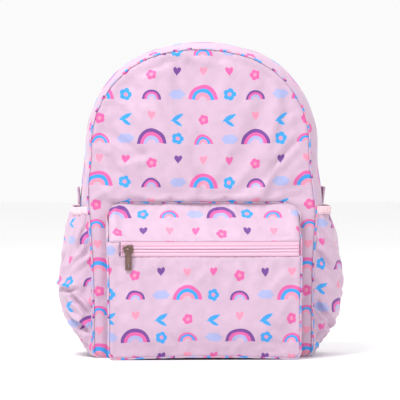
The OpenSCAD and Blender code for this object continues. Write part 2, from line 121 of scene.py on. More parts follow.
def ray_circle(a, cx, cz, r):
    """Distance from (0, ARC_Z) along a ray to the far side of a circle."""
    dz = cz - ARC_Z
    b = cx * np.sin(a) + dz * np.cos(a)
    return b + np.sqrt(np.maximum(b * b - cx * cx - dz * dz + r * r, 0))


def outline_r(angle, inset):
    """The bag's outline as a distance from (0, ARC_Z), by the angle from straight up."""
    a = np.abs((np.asarray(angle, float) + math.pi) % (2 * math.pi) - math.pi)
    inset = inset + 0 * a
    way = np.array([SHOULDER_CX, SHOULDER_CZ - TOP_CZ]) / (TOP_R - SHOULDER_R)
    top_end = np.arctan2(way[0] * (TOP_R - inset), TOP_CZ + way[1] * (TOP_R - inset) - ARC_Z)
    w = HALF_W - inset
    side = w / np.maximum(np.sin(a), 1e-6)
    base = -ARC_Z / np.minimum(np.cos(a), -1e-6)
    return np.select(
        [a < top_end, a < np.arctan2(w, SHOULDER_CZ - ARC_Z), a < np.arctan2(w, CORNER_R - ARC_Z),
         a < np.arctan2(w - CORNER_R, -ARC_Z)],
        [ray_circle(a, 0, TOP_CZ, TOP_R - inset), ray_circle(a, SHOULDER_CX, SHOULDER_CZ, SHOULDER_R - inset),
         side, ray_circle(a, w - CORNER_R, CORNER_R, CORNER_R)], base)


def arch_r(angle):
    """The zipper's line: an arc over the top, and straight down at the sides."""
    a = np.abs((np.asarray(angle, float) + math.pi) % (2 * math.pi) - math.pi)
    return np.where(a <= math.pi / 2, ZIP_R, ZIP_R / np.maximum(np.sin(a), 0.01))


def even_angles(step, a0=-math.pi, a1=math.pi):
    """Angles that cut the outline into equal lengths, and the length so far, from straight up."""
    fine = np.linspace(a0, a1, 4001)
    r = outline_r(fine, 0)
    x, z = r * np.sin(fine), r * np.cos(fine)
    along = np.concatenate([[0], np.cumsum(np.hypot(np.diff(x), np.diff(z)))])
    n = int(round(along[-1] / step))
    length = np.linspace(0, along[-1], n + 1)
    return np.interp(length, along, fine), length - np.interp(0, fine, along)


def smooth(t):
    t = np.clip(t, 0, 1)
    return t * t * (3 - 2 * t)


def ripple(u, v, size, seed, turns=7):
    """A smooth, repeatable wander between about -1 and 1, with bumps about size across."""
    r = np.random.default_rng(seed)
    total = 0
    for _ in range(turns):
        turn, phase, scale = r.random() * math.tau, r.random() * math.tau, 0.6 + 0.9 * r.random()
        k = math.tau / (size * 2 * scale)
        total = total + np.sin(k * (u * math.cos(turn) + v * math.sin(turn)) + phase)
    return total / turns * 1.6


def folds(u, v, size, seed):
    """Like ripple, with narrow hollows between rounded swells, as cloth has."""
    return 1 - 2 * np.abs(ripple(u, v, size, seed)) ** 0.8


# ---------- Meshes ----------

def unit(vectors):
    return vectors / np.linalg.norm(vectors, axis=-1)[..., None]


def run_length(path):
    """The length of a path so far, at each of its points."""
    return np.concatenate([[0], np.cumsum(np.linalg.norm(np.diff(path, axis=0), axis=1))])


def mesh_piece(name, points, faces, cloth, materials):
    """A mesh object from points in millimetres, with cloth coordinates for each point."""
    points = np.array(points, float).reshape(-1, 3)
    sunk = (points[:, 2] < 0.3) & (points[:, 2] > -4) & (np.abs(points[:, 0]) < STAGE_X)
    points[sunk, 2] = np.maximum(points[sunk, 2], FLOOR_GAP)
    mesh = bpy.data.meshes.new(name)
    mesh.from_pydata((points * MM).tolist(), [], [list(f) for f in faces])
    layer = mesh.uv_layers.new(name="cloth")
    index = np.zeros(len(mesh.loops), np.int32)
    mesh.loops.foreach_get("vertex_index", index)
    layer.data.foreach_set("uv", np.asarray(cloth, float).reshape(-1, 2)[index].astype(np.float32).ravel())
    for material in materials:
        mesh.materials.append(material)
    mesh.polygons.foreach_set("use_smooth", [True] * len(mesh.polygons))
    mesh.update()
    piece = bpy.data.objects.new(name, mesh)
    bpy.context.scene.collection.objects.link(piece)
    return piece


def face_away(piece, centre):
    """Turns every face's normal away from a point inside the bag, or leaves them all."""
    mesh = piece.data
    n = len(mesh.polygons)
    normals, centres = np.zeros(n * 3), np.zeros(n * 3)
    mesh.polygons.foreach_get("normal", normals)
    mesh.polygons.foreach_get("center", centres)
    out = centres.reshape(-1, 3) - np.array(centre) * MM
    if (normals.reshape(-1, 3) * out).sum(1).sum() < 0:
        mesh.flip_normals()
    return piece


def outward_normals(piece, weld=False):
    """Turns every face of a closed piece outward, after joining points that coincide if weld is set."""
    bm = bmesh.new()
    bm.from_mesh(piece.data)
    if weld:
        bmesh.ops.remove_doubles(bm, verts=bm.verts, dist=1e-6)
    bmesh.ops.recalc_face_normals(bm, faces=bm.faces)
    bm.to_mesh(piece.data)
    bm.free()
    return piece


def grid_faces(rows, cols, closed_rows=False, closed_cols=False):
    faces = []
    for i in range(rows if closed_rows else rows - 1):
        for j in range(cols if closed_cols else cols - 1):
            i1, j1 = (i + 1) % rows, (j + 1) % cols
            faces.append((i * cols + j, i1 * cols + j, i1 * cols + j1, i * cols + j1))
    return faces


def grid_piece(name, points, cloth, materials, centre):
    return face_away(mesh_piece(name, points, grid_faces(*points.shape[:2]), cloth, materials), centre)


def edge_gap(points, outline):
    """Distance of 2D points from a closed outline."""
    gap = np.full(len(points), 1e9)
    for p, q in zip(outline, np.roll(outline, -1, 0)):
        d = q - p
        t = np.clip(((points - p) @ d) / max(d @ d, 1e-9), 0, 1)
        gap = np.minimum(gap, np.linalg.norm(points - p - t[:, None] * d, axis=1))
    return gap


def flat_panel(outline, spacing):
    """Even triangles that fill a 2D outline, with the outline's points first."""
    outline = np.asarray(outline, float)
    lo, hi = outline.min(0), outline.max(0)
    inside = []
    row, y = 0, lo[1] + spacing * 0.6
    while y < hi[1]:
        for x in np.arange(lo[0] + (row % 2) * spacing / 2, hi[0], spacing):
            inside.append((x, y))
        row, y = row + 1, y + spacing * 0.866
    inside = np.array(inside)
    odd = np.zeros(len(inside), bool)
    for p, q in zip(outline, np.roll(outline, -1, 0)):
        d = q - p
        crosses = (p[1] > inside[:, 1]) != (q[1] > inside[:, 1])
        at = p[0] + (inside[:, 1] - p[1]) / (d[1] if abs(d[1]) > 1e-9 else 1e-9) * d[0]
        odd ^= crosses & (inside[:, 0] < at)
    inside = inside[odd & (edge_gap(inside, outline) > spacing * 0.45)]
    points = np.vstack([outline, inside])
    n = len(outline)
    made = delaunay_2d_cdt([Vector(p) for p in points], [(i, (i + 1) % n) for i in range(n)], [], 1, 1e-5)
    return np.array([list(p) for p in made[0]]), made[2]


def sweep(name, path, out, section, materials, closed=False):
    """A tube along a path. section is a closed 2D loop of (across, outward), and out is the way outward,
    one for the whole path or one for each point."""
    path, out = np.asarray(path, float), np.asarray(out, float)
    along = unit(np.roll(path, -1, 0) - np.roll(path, 1, 0) if closed else np.gradient(path, axis=0))
    across = unit(np.cross(along, out))
    out = np.cross(across, along)
    section = np.asarray(section, float)
    n, m = len(path), len(section)
    points = path[:, None] + (section[None, :, :1] * across[:, None] + section[None, :, 1:] * out[:, None])
    length = run_length(path)
    girth = run_length(section)
    cloth = np.stack(np.broadcast_arrays(length[:, None], girth[None, :]), -1)
    faces = grid_faces(n, m, closed_rows=closed, closed_cols=True)
    if not closed:
        faces += [tuple(range(m)), tuple(n * m - 1 - k for k in range(m))]
    return outward_normals(mesh_piece(name, points, faces, cloth, materials))


def loop_section(width, height, power=2.5, n=12):
    """A rounded flat section, width across and height outward."""
    a = np.linspace(0, math.tau, n, endpoint=False)
    c, s = np.cos(a), np.sin(a)
    return np.stack([np.sign(c) * np.abs(c) ** (2 / power) * width / 2,
                     np.sign(s) * np.abs(s) ** (2 / power) * height / 2], 1)


def thicken(piece, thickness, inner=0):
    """Gives a sheet its thickness, towards the inside of the bag, with its second material there."""
    solid = piece.modifiers.new("thickness", "SOLIDIFY")
    solid.thickness = thickness * MM
    solid.offset = -1
    solid.use_even_offset = False
    solid.material_offset = inner
    solid.material_offset_rim = 0
    return piece


def finer(piece, levels=1):
    more = piece.modifiers.new("finer", "SUBSURF")
    more.levels = more.render_levels = levels
    more.boundary_smooth = "PRESERVE_CORNERS"
    return piece


def joined(name, pieces):
    """One object from several, keeping their materials and cloth coordinates."""
    bpy.ops.object.select_all(action="DESELECT")
    for piece in pieces:
        piece.select_set(True)
    bpy.context.view_layer.objects.active = pieces[0]
    bpy.ops.object.join()
    pieces[0].name = pieces[0].data.name = name
    return pieces[0]


def settle(piece, free, slack, push, frames=14, cap=5.0, gravity=0.3):
    """Lets cloth that is a little larger than its outline find its own sag and creases.

    free is 0 where a point is held and 1 where it moves. The result is applied to the mesh."""
    mesh = piece.data
    n = len(mesh.vertices)
    rest = np.zeros(n * 3, np.float32)
    mesh.vertices.foreach_get("co", rest)
    rest = rest.reshape(-1, 3).astype(float)
    group = piece.vertex_groups.new(name="held")
    held = np.clip(1 - np.asarray(free, float), 0, 1)
    for level in np.linspace(0, 1, 11):
        chosen = np.nonzero(np.abs(held - level) <= 0.05)[0]
        if len(chosen):
            group.add([int(i) for i in chosen], float(level), "REPLACE")
    cloth = piece.modifiers.new("settle", "CLOTH")
    s = cloth.settings
    s.quality = 5
    s.mass = 0.15
    s.tension_stiffness = s.compression_stiffness = CLOTH_STIFFNESS
    s.shear_stiffness = CLOTH_STIFFNESS / 3
    s.bending_stiffness = 0.25
    s.vertex_group_mass = "held"
    s.pin_stiffness = 1
    s.shrink_min = -slack
    s.use_pressure = push != 0
    s.uniform_pressure_force = push
    s.effector_weights.gravity = gravity
    cloth.collision_settings.use_collision = False
    cloth.collision_settings.use_self_collision = False
    cloth.point_cache.frame_start = 1
    cloth.point_cache.frame_end = frames + 1
    scene = bpy.context.scene
    for number in range(1, frames + 1):
        scene.frame_set(number)
    moved = np.zeros(n * 3, np.float32)
    shown = piece.evaluated_get(bpy.context.evaluated_depsgraph_get())
    shown.data.vertices.foreach_get("co", moved)
    piece.modifiers.remove(cloth)
    piece.vertex_groups.remove(group)
    scene.frame_set(1)
    shift = moved.reshape(-1, 3).astype(float) - rest
    size = np.linalg.norm(shift, axis=1)
    limit = cap * MM
    shift *= (limit * np.tanh(size / limit) / np.maximum(size, 1e-9))[:, None]
    mesh.vertices.foreach_set("co", (rest + shift).astype(np.float32).ravel())
    mesh.update()
    return piece


# ---------- Materials ----------

def tone(red, green, blue):
    """A colour in the renderer's own units from the usual 0 to 255."""
    return tuple((c / 255 / 12.92) if c <= 10 else ((c / 255 + 0.055) / 1.055) ** 2.4
                 for c in (red, green, blue)) + (1.0,)


class Shade:
    """A material whose nodes are made one after another, in the order that they are used."""

    def __init__(self, name, **settings):
        self.material = bpy.data.materials.new(name)
        self.material.use_nodes = True
        self.tree = self.material.node_tree
        self.shader = self.tree.nodes["Principled BSDF"]
        for key, value in settings.items():
            self.shader.inputs[key.replace("_", " ")].default_value = value

    def node(self, kind, *inputs, **settings):
        made = self.tree.nodes.new("ShaderNode" + kind)
        for key, value in settings.items():
            setattr(made, key, value)
        for i, value in enumerate(inputs):
            if isinstance(value, bpy.types.NodeSocket):
                self.tree.links.new(value, made.inputs[i])
            elif value is not None:
                made.inputs[i].default_value = value
        return made

    def math(self, operation, *inputs, clamp=False):
        return self.node("Math", *inputs, operation=operation, use_clamp=clamp).outputs[0]

    def vector(self, operation, *inputs):
        return self.node("VectorMath", *inputs, operation=operation).outputs[0]

    def mix(self, share, a, b):
        made = self.tree.nodes.new("ShaderNodeMix")
        made.data_type = "RGBA"
        for socket, value in ((made.inputs[0], share), (made.inputs[6], a), (made.inputs[7], b)):
            if isinstance(value, bpy.types.NodeSocket):
                self.tree.links.new(value, socket)
            else:
                socket.default_value = value
        return made.outputs[2]

    def ramp(self, factor, stops):
        """Bands of flat colour, each from its stop to the next. Returns the colour and its cover."""
        made = self.node("ValToRGB", factor)
        ramp = made.color_ramp
        ramp.interpolation = "CONSTANT"
        while len(ramp.elements) < len(stops):
            ramp.elements.new(0.5)
        for element, (at, colour) in zip(ramp.elements, stops):
            element.position = at
        for element, (at, colour) in zip(ramp.elements, stops):
            element.color = colour
        return made.outputs[0], made.outputs[1]

    def cloth(self):
        return self.node("UVMap", uv_map="cloth").outputs[0]

    def place(self):
        return self.node("TexCoord").outputs["Object"]

    def noise(self, at, scale, detail=2.0, rough=0.5):
        made = self.node("TexNoise", noise_dimensions="3D")
        self.tree.links.new(at, made.inputs["Vector"])
        made.inputs["Scale"].default_value = scale
        made.inputs["Detail"].default_value = detail
        made.inputs["Roughness"].default_value = rough
        return made.outputs[0], made.outputs[1]

    def bump(self, height, strength, distance, normal=None):
        made = self.node("Bump")
        made.inputs["Strength"].default_value = strength
        made.inputs["Distance"].default_value = distance
        self.tree.links.new(height, made.inputs["Height"])
        if normal is not None:
            self.tree.links.new(normal, made.inputs["Normal"])
        return made.outputs[0]

    def link(self, value, name):
        self.tree.links.new(value, self.shader.inputs[name])


def weave(shade, cloth, pitch, strength, distance, normal=None):
    """Over-and-under threads, pitch apart, as a fine relief. Returns the normal and the relief."""
    split = shade.node("SeparateXYZ", cloth)
    turn = math.pi / pitch
    u = shade.math("SINE", shade.math("MULTIPLY", split.outputs[0], turn))
    v = shade.math("SINE", shade.math("MULTIPLY", split.outputs[1], turn))
    relief = shade.math("MULTIPLY", u, v)
    return shade.bump(relief, strength, distance, normal), relief


# The print: the size of one repeat, and its colours
TILE_W, TILE_H = 120.0, 100.0
CLEAR = (1.0, 1.0, 1.0, 0.0)
PURPLE = tone(126, 70, 160)
HOT_PINK = tone(244, 104, 180)
PEACH = tone(255, 158, 190)
SKY = tone(62, 172, 250)
LILAC = tone(184, 190, 240)
GROUND = tone(229, 197, 220)


def local(shade, cloth, at, turn=0.0, size=1.0):
    """x and y of the cloth in a motif's own frame, repeated with the tile."""
    half = (TILE_W / 2, TILE_H / 2, 1)
    near = shade.vector("WRAP", cloth, (at[0] + half[0], at[1] + half[1], 1), (at[0] - half[0], at[1] - half[1], -1))
    moved = shade.node("Mapping", near, (at[0], at[1], 0), (0, 0, math.radians(turn)), (size, size, 1),
                       vector_type="TEXTURE").outputs[0]
    split = shade.node("SeparateXYZ", moved)
    return split.outputs[0], split.outputs[1]


def length_of(shade, x, y):
    both = shade.node("CombineXYZ", x, y)
    made = shade.node("VectorMath", both.outputs[0], operation="LENGTH")
    return made.outputs["Value"]


def angle_of(shade, x, y):
    return shade.math("ARCTAN2", y, x)


def arch(shade, cloth, ground, at, radius, bands):
    """Half-round bands of several colours. bands are (share of the radius, colour)."""
    x, y = local(shade, cloth, at, 0.0, radius)
    colour, cover = shade.ramp(length_of(shade, x, y), bands)
    above = shade.math("GREATER_THAN", y, 0.0)
    return shade.mix(shade.math("MULTIPLY", cover, above), ground, colour)


def heart(shade, cloth, ground, at, size, turn, colour):
    x, y = local(shade, cloth, at, turn, size)
    arch = shade.math("SQRT", shade.math("ABSOLUTE", x))
    up = shade.math("SUBTRACT", shade.math("MULTIPLY", y, 1.2), shade.math("MULTIPLY", arch, 1.05))
    mask = shade.math("LESS_THAN", length_of(shade, shade.math("MULTIPLY", x, 1.12), up), 0.9)
    return shade.mix(mask, ground, colour)


def lobed(shade, cloth, ground, at, size, turn, colour, lobes, depth, stretch=1.0, mean=0.8):
    """A round shape with petals, or a leaf or cloud when it is stretched."""
    x, y = local(shade, cloth, at, turn, size)
    y = shade.math("MULTIPLY", y, stretch)
    wave = shade.math("ABSOLUTE", shade.math("COSINE", shade.math("MULTIPLY", angle_of(shade, x, y), lobes / 2)))
    edge = shade.math("MULTIPLY_ADD", shade.math("SQRT", wave), depth, mean)
    mask = shade.math("LESS_THAN", length_of(shade, x, y), edge)
    return shade.mix(mask, ground, colour)


def lens_leaf(shade, cloth, ground, at, half_length, half_width, turn, colour):
    x, y = local(shade, cloth, at, turn, half_length)
    side = shade.math("MULTIPLY_ADD", shade.math("MULTIPLY", x, x), -1.0, 1.0)
    mask = shade.math("LESS_THAN", shade.math("ABSOLUTE", y), shade.math("MULTIPLY", side, half_width / half_length))
    return shade.mix(mask, ground, colour)


def print_fabric():
    """Satin polyester with a plain, generic print of arches, hearts, daisies, leaves and clouds."""
    shade = Shade("print_fabric", Roughness=0.52, Sheen_Weight=0.25, Sheen_Roughness=0.4, IOR=1.45)
    flat = shade.cloth()
    wander = shade.vector("SUBTRACT", shade.noise(flat, 0.07, 0.0)[1], (0.5, 0.5, 0.5))
    wobble = shade.vector("MULTIPLY", wander, (2.4, 2.4, 0.0))
    cloth = shade.vector("ADD", flat, wobble)
    soft = shade.noise(flat, 0.011, 2.0)[0]
    colour = shade.mix(soft, GROUND, tone(220, 186, 212))
    warm = [(0, CLEAR), (0.25, PEACH), (0.50, SKY), (0.75, HOT_PINK), (0.99, CLEAR)]
    cool = [(0, CLEAR), (0.30, LILAC), (0.53, HOT_PINK), (0.76, PURPLE), (0.99, CLEAR)]
    for at, radius, bands in (((0, 0), 17, warm), ((60, 50), 17, cool), ((60, 0), 11, cool), ((0, 50), 11, warm)):
        colour = arch(shade, cloth, colour, at, radius, bands)
    for places, petal_r, heart_r, turn, tint in ((((30, 6), (90, 56)), 7.5, 2.4, 0, SKY),
                                                 (((60, 28), (0, 78)), 6.5, 2.2, 36, HOT_PINK)):
        for at in places:
            colour = lobed(shade, cloth, colour, at, petal_r, turn, tint, 5, 0.3, 1.0, 0.65)
            colour = lobed(shade, cloth, colour, at, heart_r, 0, PEACH, 5, 0.05, 1.0, 0.9)
    for at in ((30, 56), (90, 6)):
        colour = lobed(shade, cloth, colour, at, 9.5, 0, LILAC, 6, 0.22, 1.7, 0.78)
    for at, tint in (((30, 30), HOT_PINK), ((90, 30), PURPLE), ((0, 30), PEACH), ((60, 80), PEACH)):
        colour = heart(shade, cloth, colour, at, 5.5, 0, tint)
    for x in (30, 90):
        colour = lens_leaf(shade, cloth, colour, (x, 80), 9.0, 2.6, 30, SKY)
        colour = lens_leaf(shade, cloth, colour, (x, 74), 7.0, 2.2, -30, SKY)
    patch = shade.noise(flat, 0.09, 2.0)[0]
    ink = shade.math("MULTIPLY_ADD", patch, 0.16, 0.675)
    tinted = shade.node("HueSaturation")
    shade.tree.links.new(ink, tinted.inputs["Value"])
    shade.tree.links.new(colour, tinted.inputs["Color"])
    relief_at = shade.noise(flat, 0.035, 3.0, 0.55)[0]
    crumple = shade.bump(relief_at, 0.35, 1.6 * MM)
    crisp = shade.bump(shade.noise(flat, 0.22, 2.0, 0.6)[0], 0.25, 0.5 * MM, crumple)
    normal, relief = weave(shade, flat, 0.45, 0.18, 0.12 * MM, crisp)
    # painted shade and highlight on the weave: the colour's value goes a little up on the raised threads and down in
    # the low parts
    thread = shade.math("MULTIPLY_ADD", relief, 0.02, 0.99)
    woven = shade.node("HueSaturation")
    shade.tree.links.new(thread, woven.inputs["Value"])
    shade.tree.links.new(tinted.outputs[0], woven.inputs["Color"])
    shade.link(woven.outputs[0], "Base Color")
    shade.link(normal, "Normal")
    rough = shade.math("MULTIPLY_ADD", patch, 0.12, 0.46)
    shade.link(rough, "Roughness")
    return shade.material


def plain_fabric(name, colour, dark, pitch=0.6, rough=0.75, sheen=0.3, strength=0.5, ribs=0.0):
    """A plain woven tape, lining or webbing, with its threads, slight changes of colour, painted thread shadow that
    follows the weave relief and, where it has ribs, painted shade between them.
    """
    shade = Shade(name, Roughness=rough, Sheen_Weight=sheen, Sheen_Roughness=0.5)
    flat = shade.cloth()
    patch = shade.noise(flat, 0.12, 3.0)[0]
    normal, relief = weave(shade, flat, pitch, strength, 0.25 * MM)
    shadow = shade.math("MULTIPLY_ADD", relief, 0.12, 0.0)
    share = shade.math("ADD", shade.math("MULTIPLY", patch, 0.55), shadow, clamp=True)
    if ribs:
        split = shade.node("SeparateXYZ", flat)
        rib = shade.math("SINE", shade.math("MULTIPLY", split.outputs[0], math.tau / ribs))
        # painted shade: the hollows between the ribs are darkened in the colour, along with their bump
        share = shade.math("MULTIPLY_ADD", rib, -0.22, share, clamp=True)
        normal = shade.bump(rib, 0.6, 0.4 * MM, normal)
    shade.link(shade.mix(share, colour, dark), "Base Color")
    shade.link(shade.math("MULTIPLY_ADD", patch, 0.15, rough - 0.08), "Roughness")
    shade.link(normal, "Normal")
    return shade.material


def bronze():
    """Antique bronze plating, rubbed brighter in places."""
    shade = Shade("zipper_bronze", Metallic=1.0, Roughness=0.34)
    at = shade.place()
    worn = shade.noise(at, 260, 4.0, 0.65)[0]
    fine = shade.noise(at, 1500, 2.0)[0]
    share = shade.math("MULTIPLY_ADD", worn, 0.9, -0.2, clamp=True)
    shade.link(shade.mix(share, tone(112, 88, 84), tone(158, 134, 126)), "Base Color")
    shade.link(shade.math("MULTIPLY_ADD", fine, 0.14, 0.2), "Roughness")
    shade.link(shade.bump(fine, 0.12, 0.1 * MM), "Normal")
    return shade.material


def moulded(name, colour, dark, rough=0.42):
    """Moulded plastic with a fine satin texture."""
    shade = Shade(name, Roughness=rough)
    at = shade.place()
    fine = shade.noise(at, 900, 3.0)[0]
    shade.link(shade.mix(shade.noise(at, 60, 2.0)[0], colour, dark), "Base Color")
    shade.link(shade.math("MULTIPLY_ADD", fine, 0.18, rough - 0.1), "Roughness")
    shade.link(shade.bump(fine, 0.15, 0.15 * MM), "Normal")
    return shade.material


def air_mesh():
    """Knitted spacer mesh with small round holes in staggered rows, drawn as sunken darker spots: painted shade in
    place of openings.
    """
    shade = Shade("air_mesh", Roughness=0.8, Sheen_Weight=0.3)
    flat = shade.cloth()
    split = shade.node("SeparateXYZ", flat)
    turn = math.tau / 3.0
    u = shade.math("COSINE", shade.math("MULTIPLY", split.outputs[0], turn))
    v = shade.math("COSINE", shade.math("MULTIPLY", split.outputs[1], turn * 0.577))
    knit = shade.math("MULTIPLY", u, v)
    # painted shade: the holes are darker spots in the colour, not openings in the mesh
    painted_hole_shade = shade.math("GREATER_THAN", shade.math("ABSOLUTE", knit), 0.55)
    shade.link(shade.mix(painted_hole_shade, tone(240, 205, 224), tone(196, 150, 178)), "Base Color")
    shade.link(shade.bump(shade.math("ABSOLUTE", knit), -0.8, 0.7 * MM), "Normal")
    return shade.material


def board():
    shade = Shade("base_board", Roughness=0.6)
    at = shade.place()
    grain = shade.noise(at, 400, 4.0)[0]
    shade.link(shade.mix(grain, tone(70, 70, 74), tone(96, 96, 100)), "Base Color")
    shade.link(shade.bump(grain, 0.4, 0.2 * MM), "Normal")
    return shade.material


PRINT = print_fabric()
TAPE = plain_fabric("zip_tape", tone(236, 198, 220), tone(220, 176, 204), 0.5, 0.7)
COIL = moulded("zip_coil", tone(238, 200, 221), tone(226, 184, 210))
BRONZE = bronze()
ELASTIC = plain_fabric("elastic", tone(246, 212, 220), tone(234, 192, 206), 0.6, 0.8, ribs=2.2)
WEBBING = plain_fabric("webbing", tone(238, 196, 218), tone(222, 172, 200), 1.1, 0.7, strength=0.9)
BUCKLE = moulded("buckle_plastic", tone(236, 194, 214), tone(228, 184, 206))
LINING = plain_fabric("lining", tone(244, 222, 238), tone(234, 208, 228), 0.5, 0.6)
MESH = air_mesh()
BINDING = plain_fabric("binding_tape", tone(240, 204, 222), tone(226, 184, 208), 0.55, 0.75)
THREAD = plain_fabric("thread", tone(214, 158, 190), tone(196, 138, 172), 0.4, 0.6)
BOARD = board()
BOTH = (PRINT, LINING)

# ---------- The shell's surface ----------

SEAM_Y = HALF_D + 0.6
TAPE_W = 9.0
CREST_Y = 24.0


def belly(z):
    """How far the filled bag's sides stand out past the flat outline."""
    return np.interp(z, [0, 60, 110, 165, 180, 193, 207, 221, 235], [0, 0, 1.5, 6.0, 6.0, 5.0, 3.4, 1.2, 0])


def filled(points):
    """Points of the flat pattern on the filled bag: wider low down, and arched under the front."""
    p = np.array(points, float)
    x, y, z = p[..., 0].copy(), p[..., 1], p[..., 2]
    wide = belly(z) * (1 - smooth((y - 26) / 20))
    p[..., 0] = x + np.sign(x) * wide * np.clip(np.abs(x) / HALF_W, 0, 1) ** 3
    lift = 3.4 * np.clip(1 - (x / 118) ** 2, 0, 1) * np.clip(1 - z / 45, 0, 1)
    p[..., 2] = z + lift * smooth((-y - 20) / 28)
    return p


def seam_inset(a):
    """How far the front seam lies inside the outline, a little more at the right shoulder."""
    return EDGE + 3.0 * np.sin(a) * smooth((ARC_Z + outline_r(a, 0) * np.cos(a) - 150) / 60)


def on_shell(a, r, y):
    return filled(np.stack(np.broadcast_arrays(r * np.sin(a), y, ARC_Z + r * np.cos(a)), -1))


def front_r(a, y):
    """Outline of the front half at a depth, from the front seam back to the zipper."""
    rounding = (np.abs(y) / SEAM_Y) ** 6
    r = outline_r(a, seam_inset(a) * rounding)
    z = ARC_Z + r * np.cos(a)
    share = smooth((y + CREST_Y) / (CREST_Y - TAPE_W)) * smooth((z - FOLD_Z + 8) / 16)
    return r + (arch_r(a) + 0.5 - r) * share


def rear_inset(y):
    return np.where(y > 0, EDGE * (np.abs(y) / HALF_D) ** 6, np.where(y < -8, 1.0, 0.4))


def rear_r(a, y):
    rise = np.interp(y, [9, 24, 37, 44, HALF_D], [0.5, 2, 2, 0.5, -3])
    return np.minimum(arch_r(a) + rise, outline_r(a, rear_inset(y)))


FOLD_A = math.atan2(HALF_W, FOLD_Z - ARC_Z)


def strip(name, angles, along, stations, r_at, v0, materials=BOTH, wrinkle=0.9, seed=1):
    """Cloth round the outline between two depths, whose print runs along it and faces the front."""
    a = np.asarray(angles)[:, None]
    y = np.asarray(stations)[None, :]
    r = r_at(a, y)
    points = on_shell(a, r, y)
    steps = np.linalg.norm(np.diff(points, axis=1), axis=2)
    across = np.concatenate([np.zeros((len(a), 1)), np.cumsum(steps, 1)], 1)
    u = -np.asarray(along)[:, None] + 0 * across
    v = v0 - across
    lump = wrinkle * (0.7 * ripple(u, v, 34, seed) + 0.5 * folds(u, v * 0.6, 22, seed + 1) - 0.2)
    border = smooth((y - y.min()) / 5) * smooth((y.max() - y) / 4)
    out = np.stack([np.sin(a) + 0 * y, 0 * a * y, np.cos(a) + 0 * y], -1)
    points = points + out * (lump * border)[..., None]
    return grid_piece(name, points, np.stack([u, v], -1), materials, INSIDE)


def spaced(start, end, step):
    return np.linspace(start, end, max(2, int(round(abs(end - start) / step)) + 1))


def make_front_gusset():
    angles, along = even_angles(3.6)
    stations = np.concatenate([[-SEAM_Y - 0.2], spaced(-SEAM_Y + 0.8, -40, 1.6), spaced(-37.5, -TAPE_W + 0.2, 2.6)])
    piece = strip("gusset_front_cloth", angles, along, stations, front_r, 30, seed=11)
    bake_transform(thicken(piece, CLOTH_T, 1))
    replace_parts(piece, "gusset_front")
    return piece


def make_side_cloth():
    angles, along = even_angles(4.0, FOLD_A - 0.004, math.tau - FOLD_A + 0.004)
    stations = np.concatenate([spaced(-21, 36, 3.4), spaced(38, HALF_D + 0.4, 1.7)])
    piece = strip("side_cloth", angles, along, stations, lambda a, y: outline_r(a, rear_inset(y)), 0, seed=21)
    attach(thicken(piece, CLOTH_T, 1), "shell")
    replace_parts(piece, "side_panel_left", "side_panel_right", "base_panel")
    return piece


def make_rear_gusset():
    angles, along = even_angles(4.0, -FOLD_A, FOLD_A)
    stations = np.concatenate([spaced(TAPE_W - 0.2, 36, 3.2), spaced(38, HALF_D + 0.4, 1.7)])
    piece = strip("gusset_rear_cloth", angles, along, stations, rear_r, 10, seed=31)
    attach(thicken(piece, CLOTH_T, 1), "shell")
    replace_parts(piece, "gusset_rear")
    return piece


def make_zip_end(side, word):
    """Cloth that closes the side behind the zipper's lower end."""
    ends = [math.atan2(HALF_W, z - ARC_Z) for z in (high("zip_end_tab_right")[2] + 11, FOLD_Z - 6)]
    angles = side * np.linspace(ends[0], ends[1], 7)
    stations = spaced(-14, 10, 3)
    piece = strip(f"zip_end_cloth_{word}", angles, angles * 190, stations, lambda a, y: outline_r(a, 3.6), 8,
                  (PRINT, PRINT), wrinkle=0)
    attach(thicken(piece, 0.8, 1), "shell")
    return piece


def make_front_seam():
    """The pinched seam between the front and the band round it."""
    angles, along = even_angles(3.0)
    angles, along = angles[:-1], along[:-1]
    r = outline_r(angles, seam_inset(angles)) + 0.35 * ripple(along, 0, 8, 55) + 0.2
    path = on_shell(angles, r, -SEAM_Y - 0.1)
    out = unit(np.stack([np.sin(angles), 0 * angles - 0.9, np.cos(angles)], 1))
    ridge = sweep("front_seam_ridge", path, out, loop_section(2.6, 1.8, 2, 8), (PRINT,), closed=True)
    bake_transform(ridge)
    return ridge


def pocket_cover(x, z):
    """1 behind the front pocket, where the front lies flat, and 0 well clear of it."""
    return smooth((POCKET_HW + 9 - np.abs(x)) / 9) * smooth((LID_TOP_Z + 7 - z) / 7)


# Where the front is creased: (start, end, depth, width), the places over (x, z)
FRONT_CREASES = [((-112, 262), (-62, 232), 2.2, 4.0), ((-100, 228), (-58, 243), 1.8, 3.6),
                 ((-118, 240), (-90, 205), 1.6, 3.4), ((112, 255), (78, 222), 1.6, 3.6),
                 ((20, 352), (60, 338), 1.2, 4.0), ((-70, 330), (-30, 345), 1.4, 4.0)]


def make_front():
    angles, _ = even_angles(4.0)
    angles = angles[:-1]
    r = outline_r(angles, seam_inset(angles))
    border = np.stack([r * np.sin(angles), ARC_Z + r * np.cos(angles)], 1)
    flat, faces = flat_panel(border, 4.2)
    x, z = flat[:, 0], flat[:, 1]
    inner = edge_gap(flat, border)
    free = smooth(inner / 16) * (1 - pocket_cover(x, z))
    dome = 5.5 * smooth(inner / 60) * (1 - pocket_cover(x, z))
    lump = 1.3 * ripple(x, z, 40, 3) + 1.5 * folds(x * 0.5 + z * 0.6, z * 0.8 - x * 0.3, 34, 4)
    for line in FRONT_CREASES:
        lump = lump + 0.8 * crease(x, z, *line)
    y = -SEAM_Y - 1.1 * smooth(inner / 5) - dome - lump * free * 0.8
    points = filled(np.stack([x, y, z], 1))
    cloth = np.stack([x, z], 1)
    piece = face_away(mesh_piece("front_cloth", points, faces, cloth, BOTH), INSIDE)
    settle(piece, free, 0.03, 0.9, cap=6)
    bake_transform(thicken(piece, CLOTH_T, 1))
    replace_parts(piece, "front_panel", "front_fold", "flap_panel")
    return piece


# ---------- Zippers ----------

COIL_PITCH = 1.7


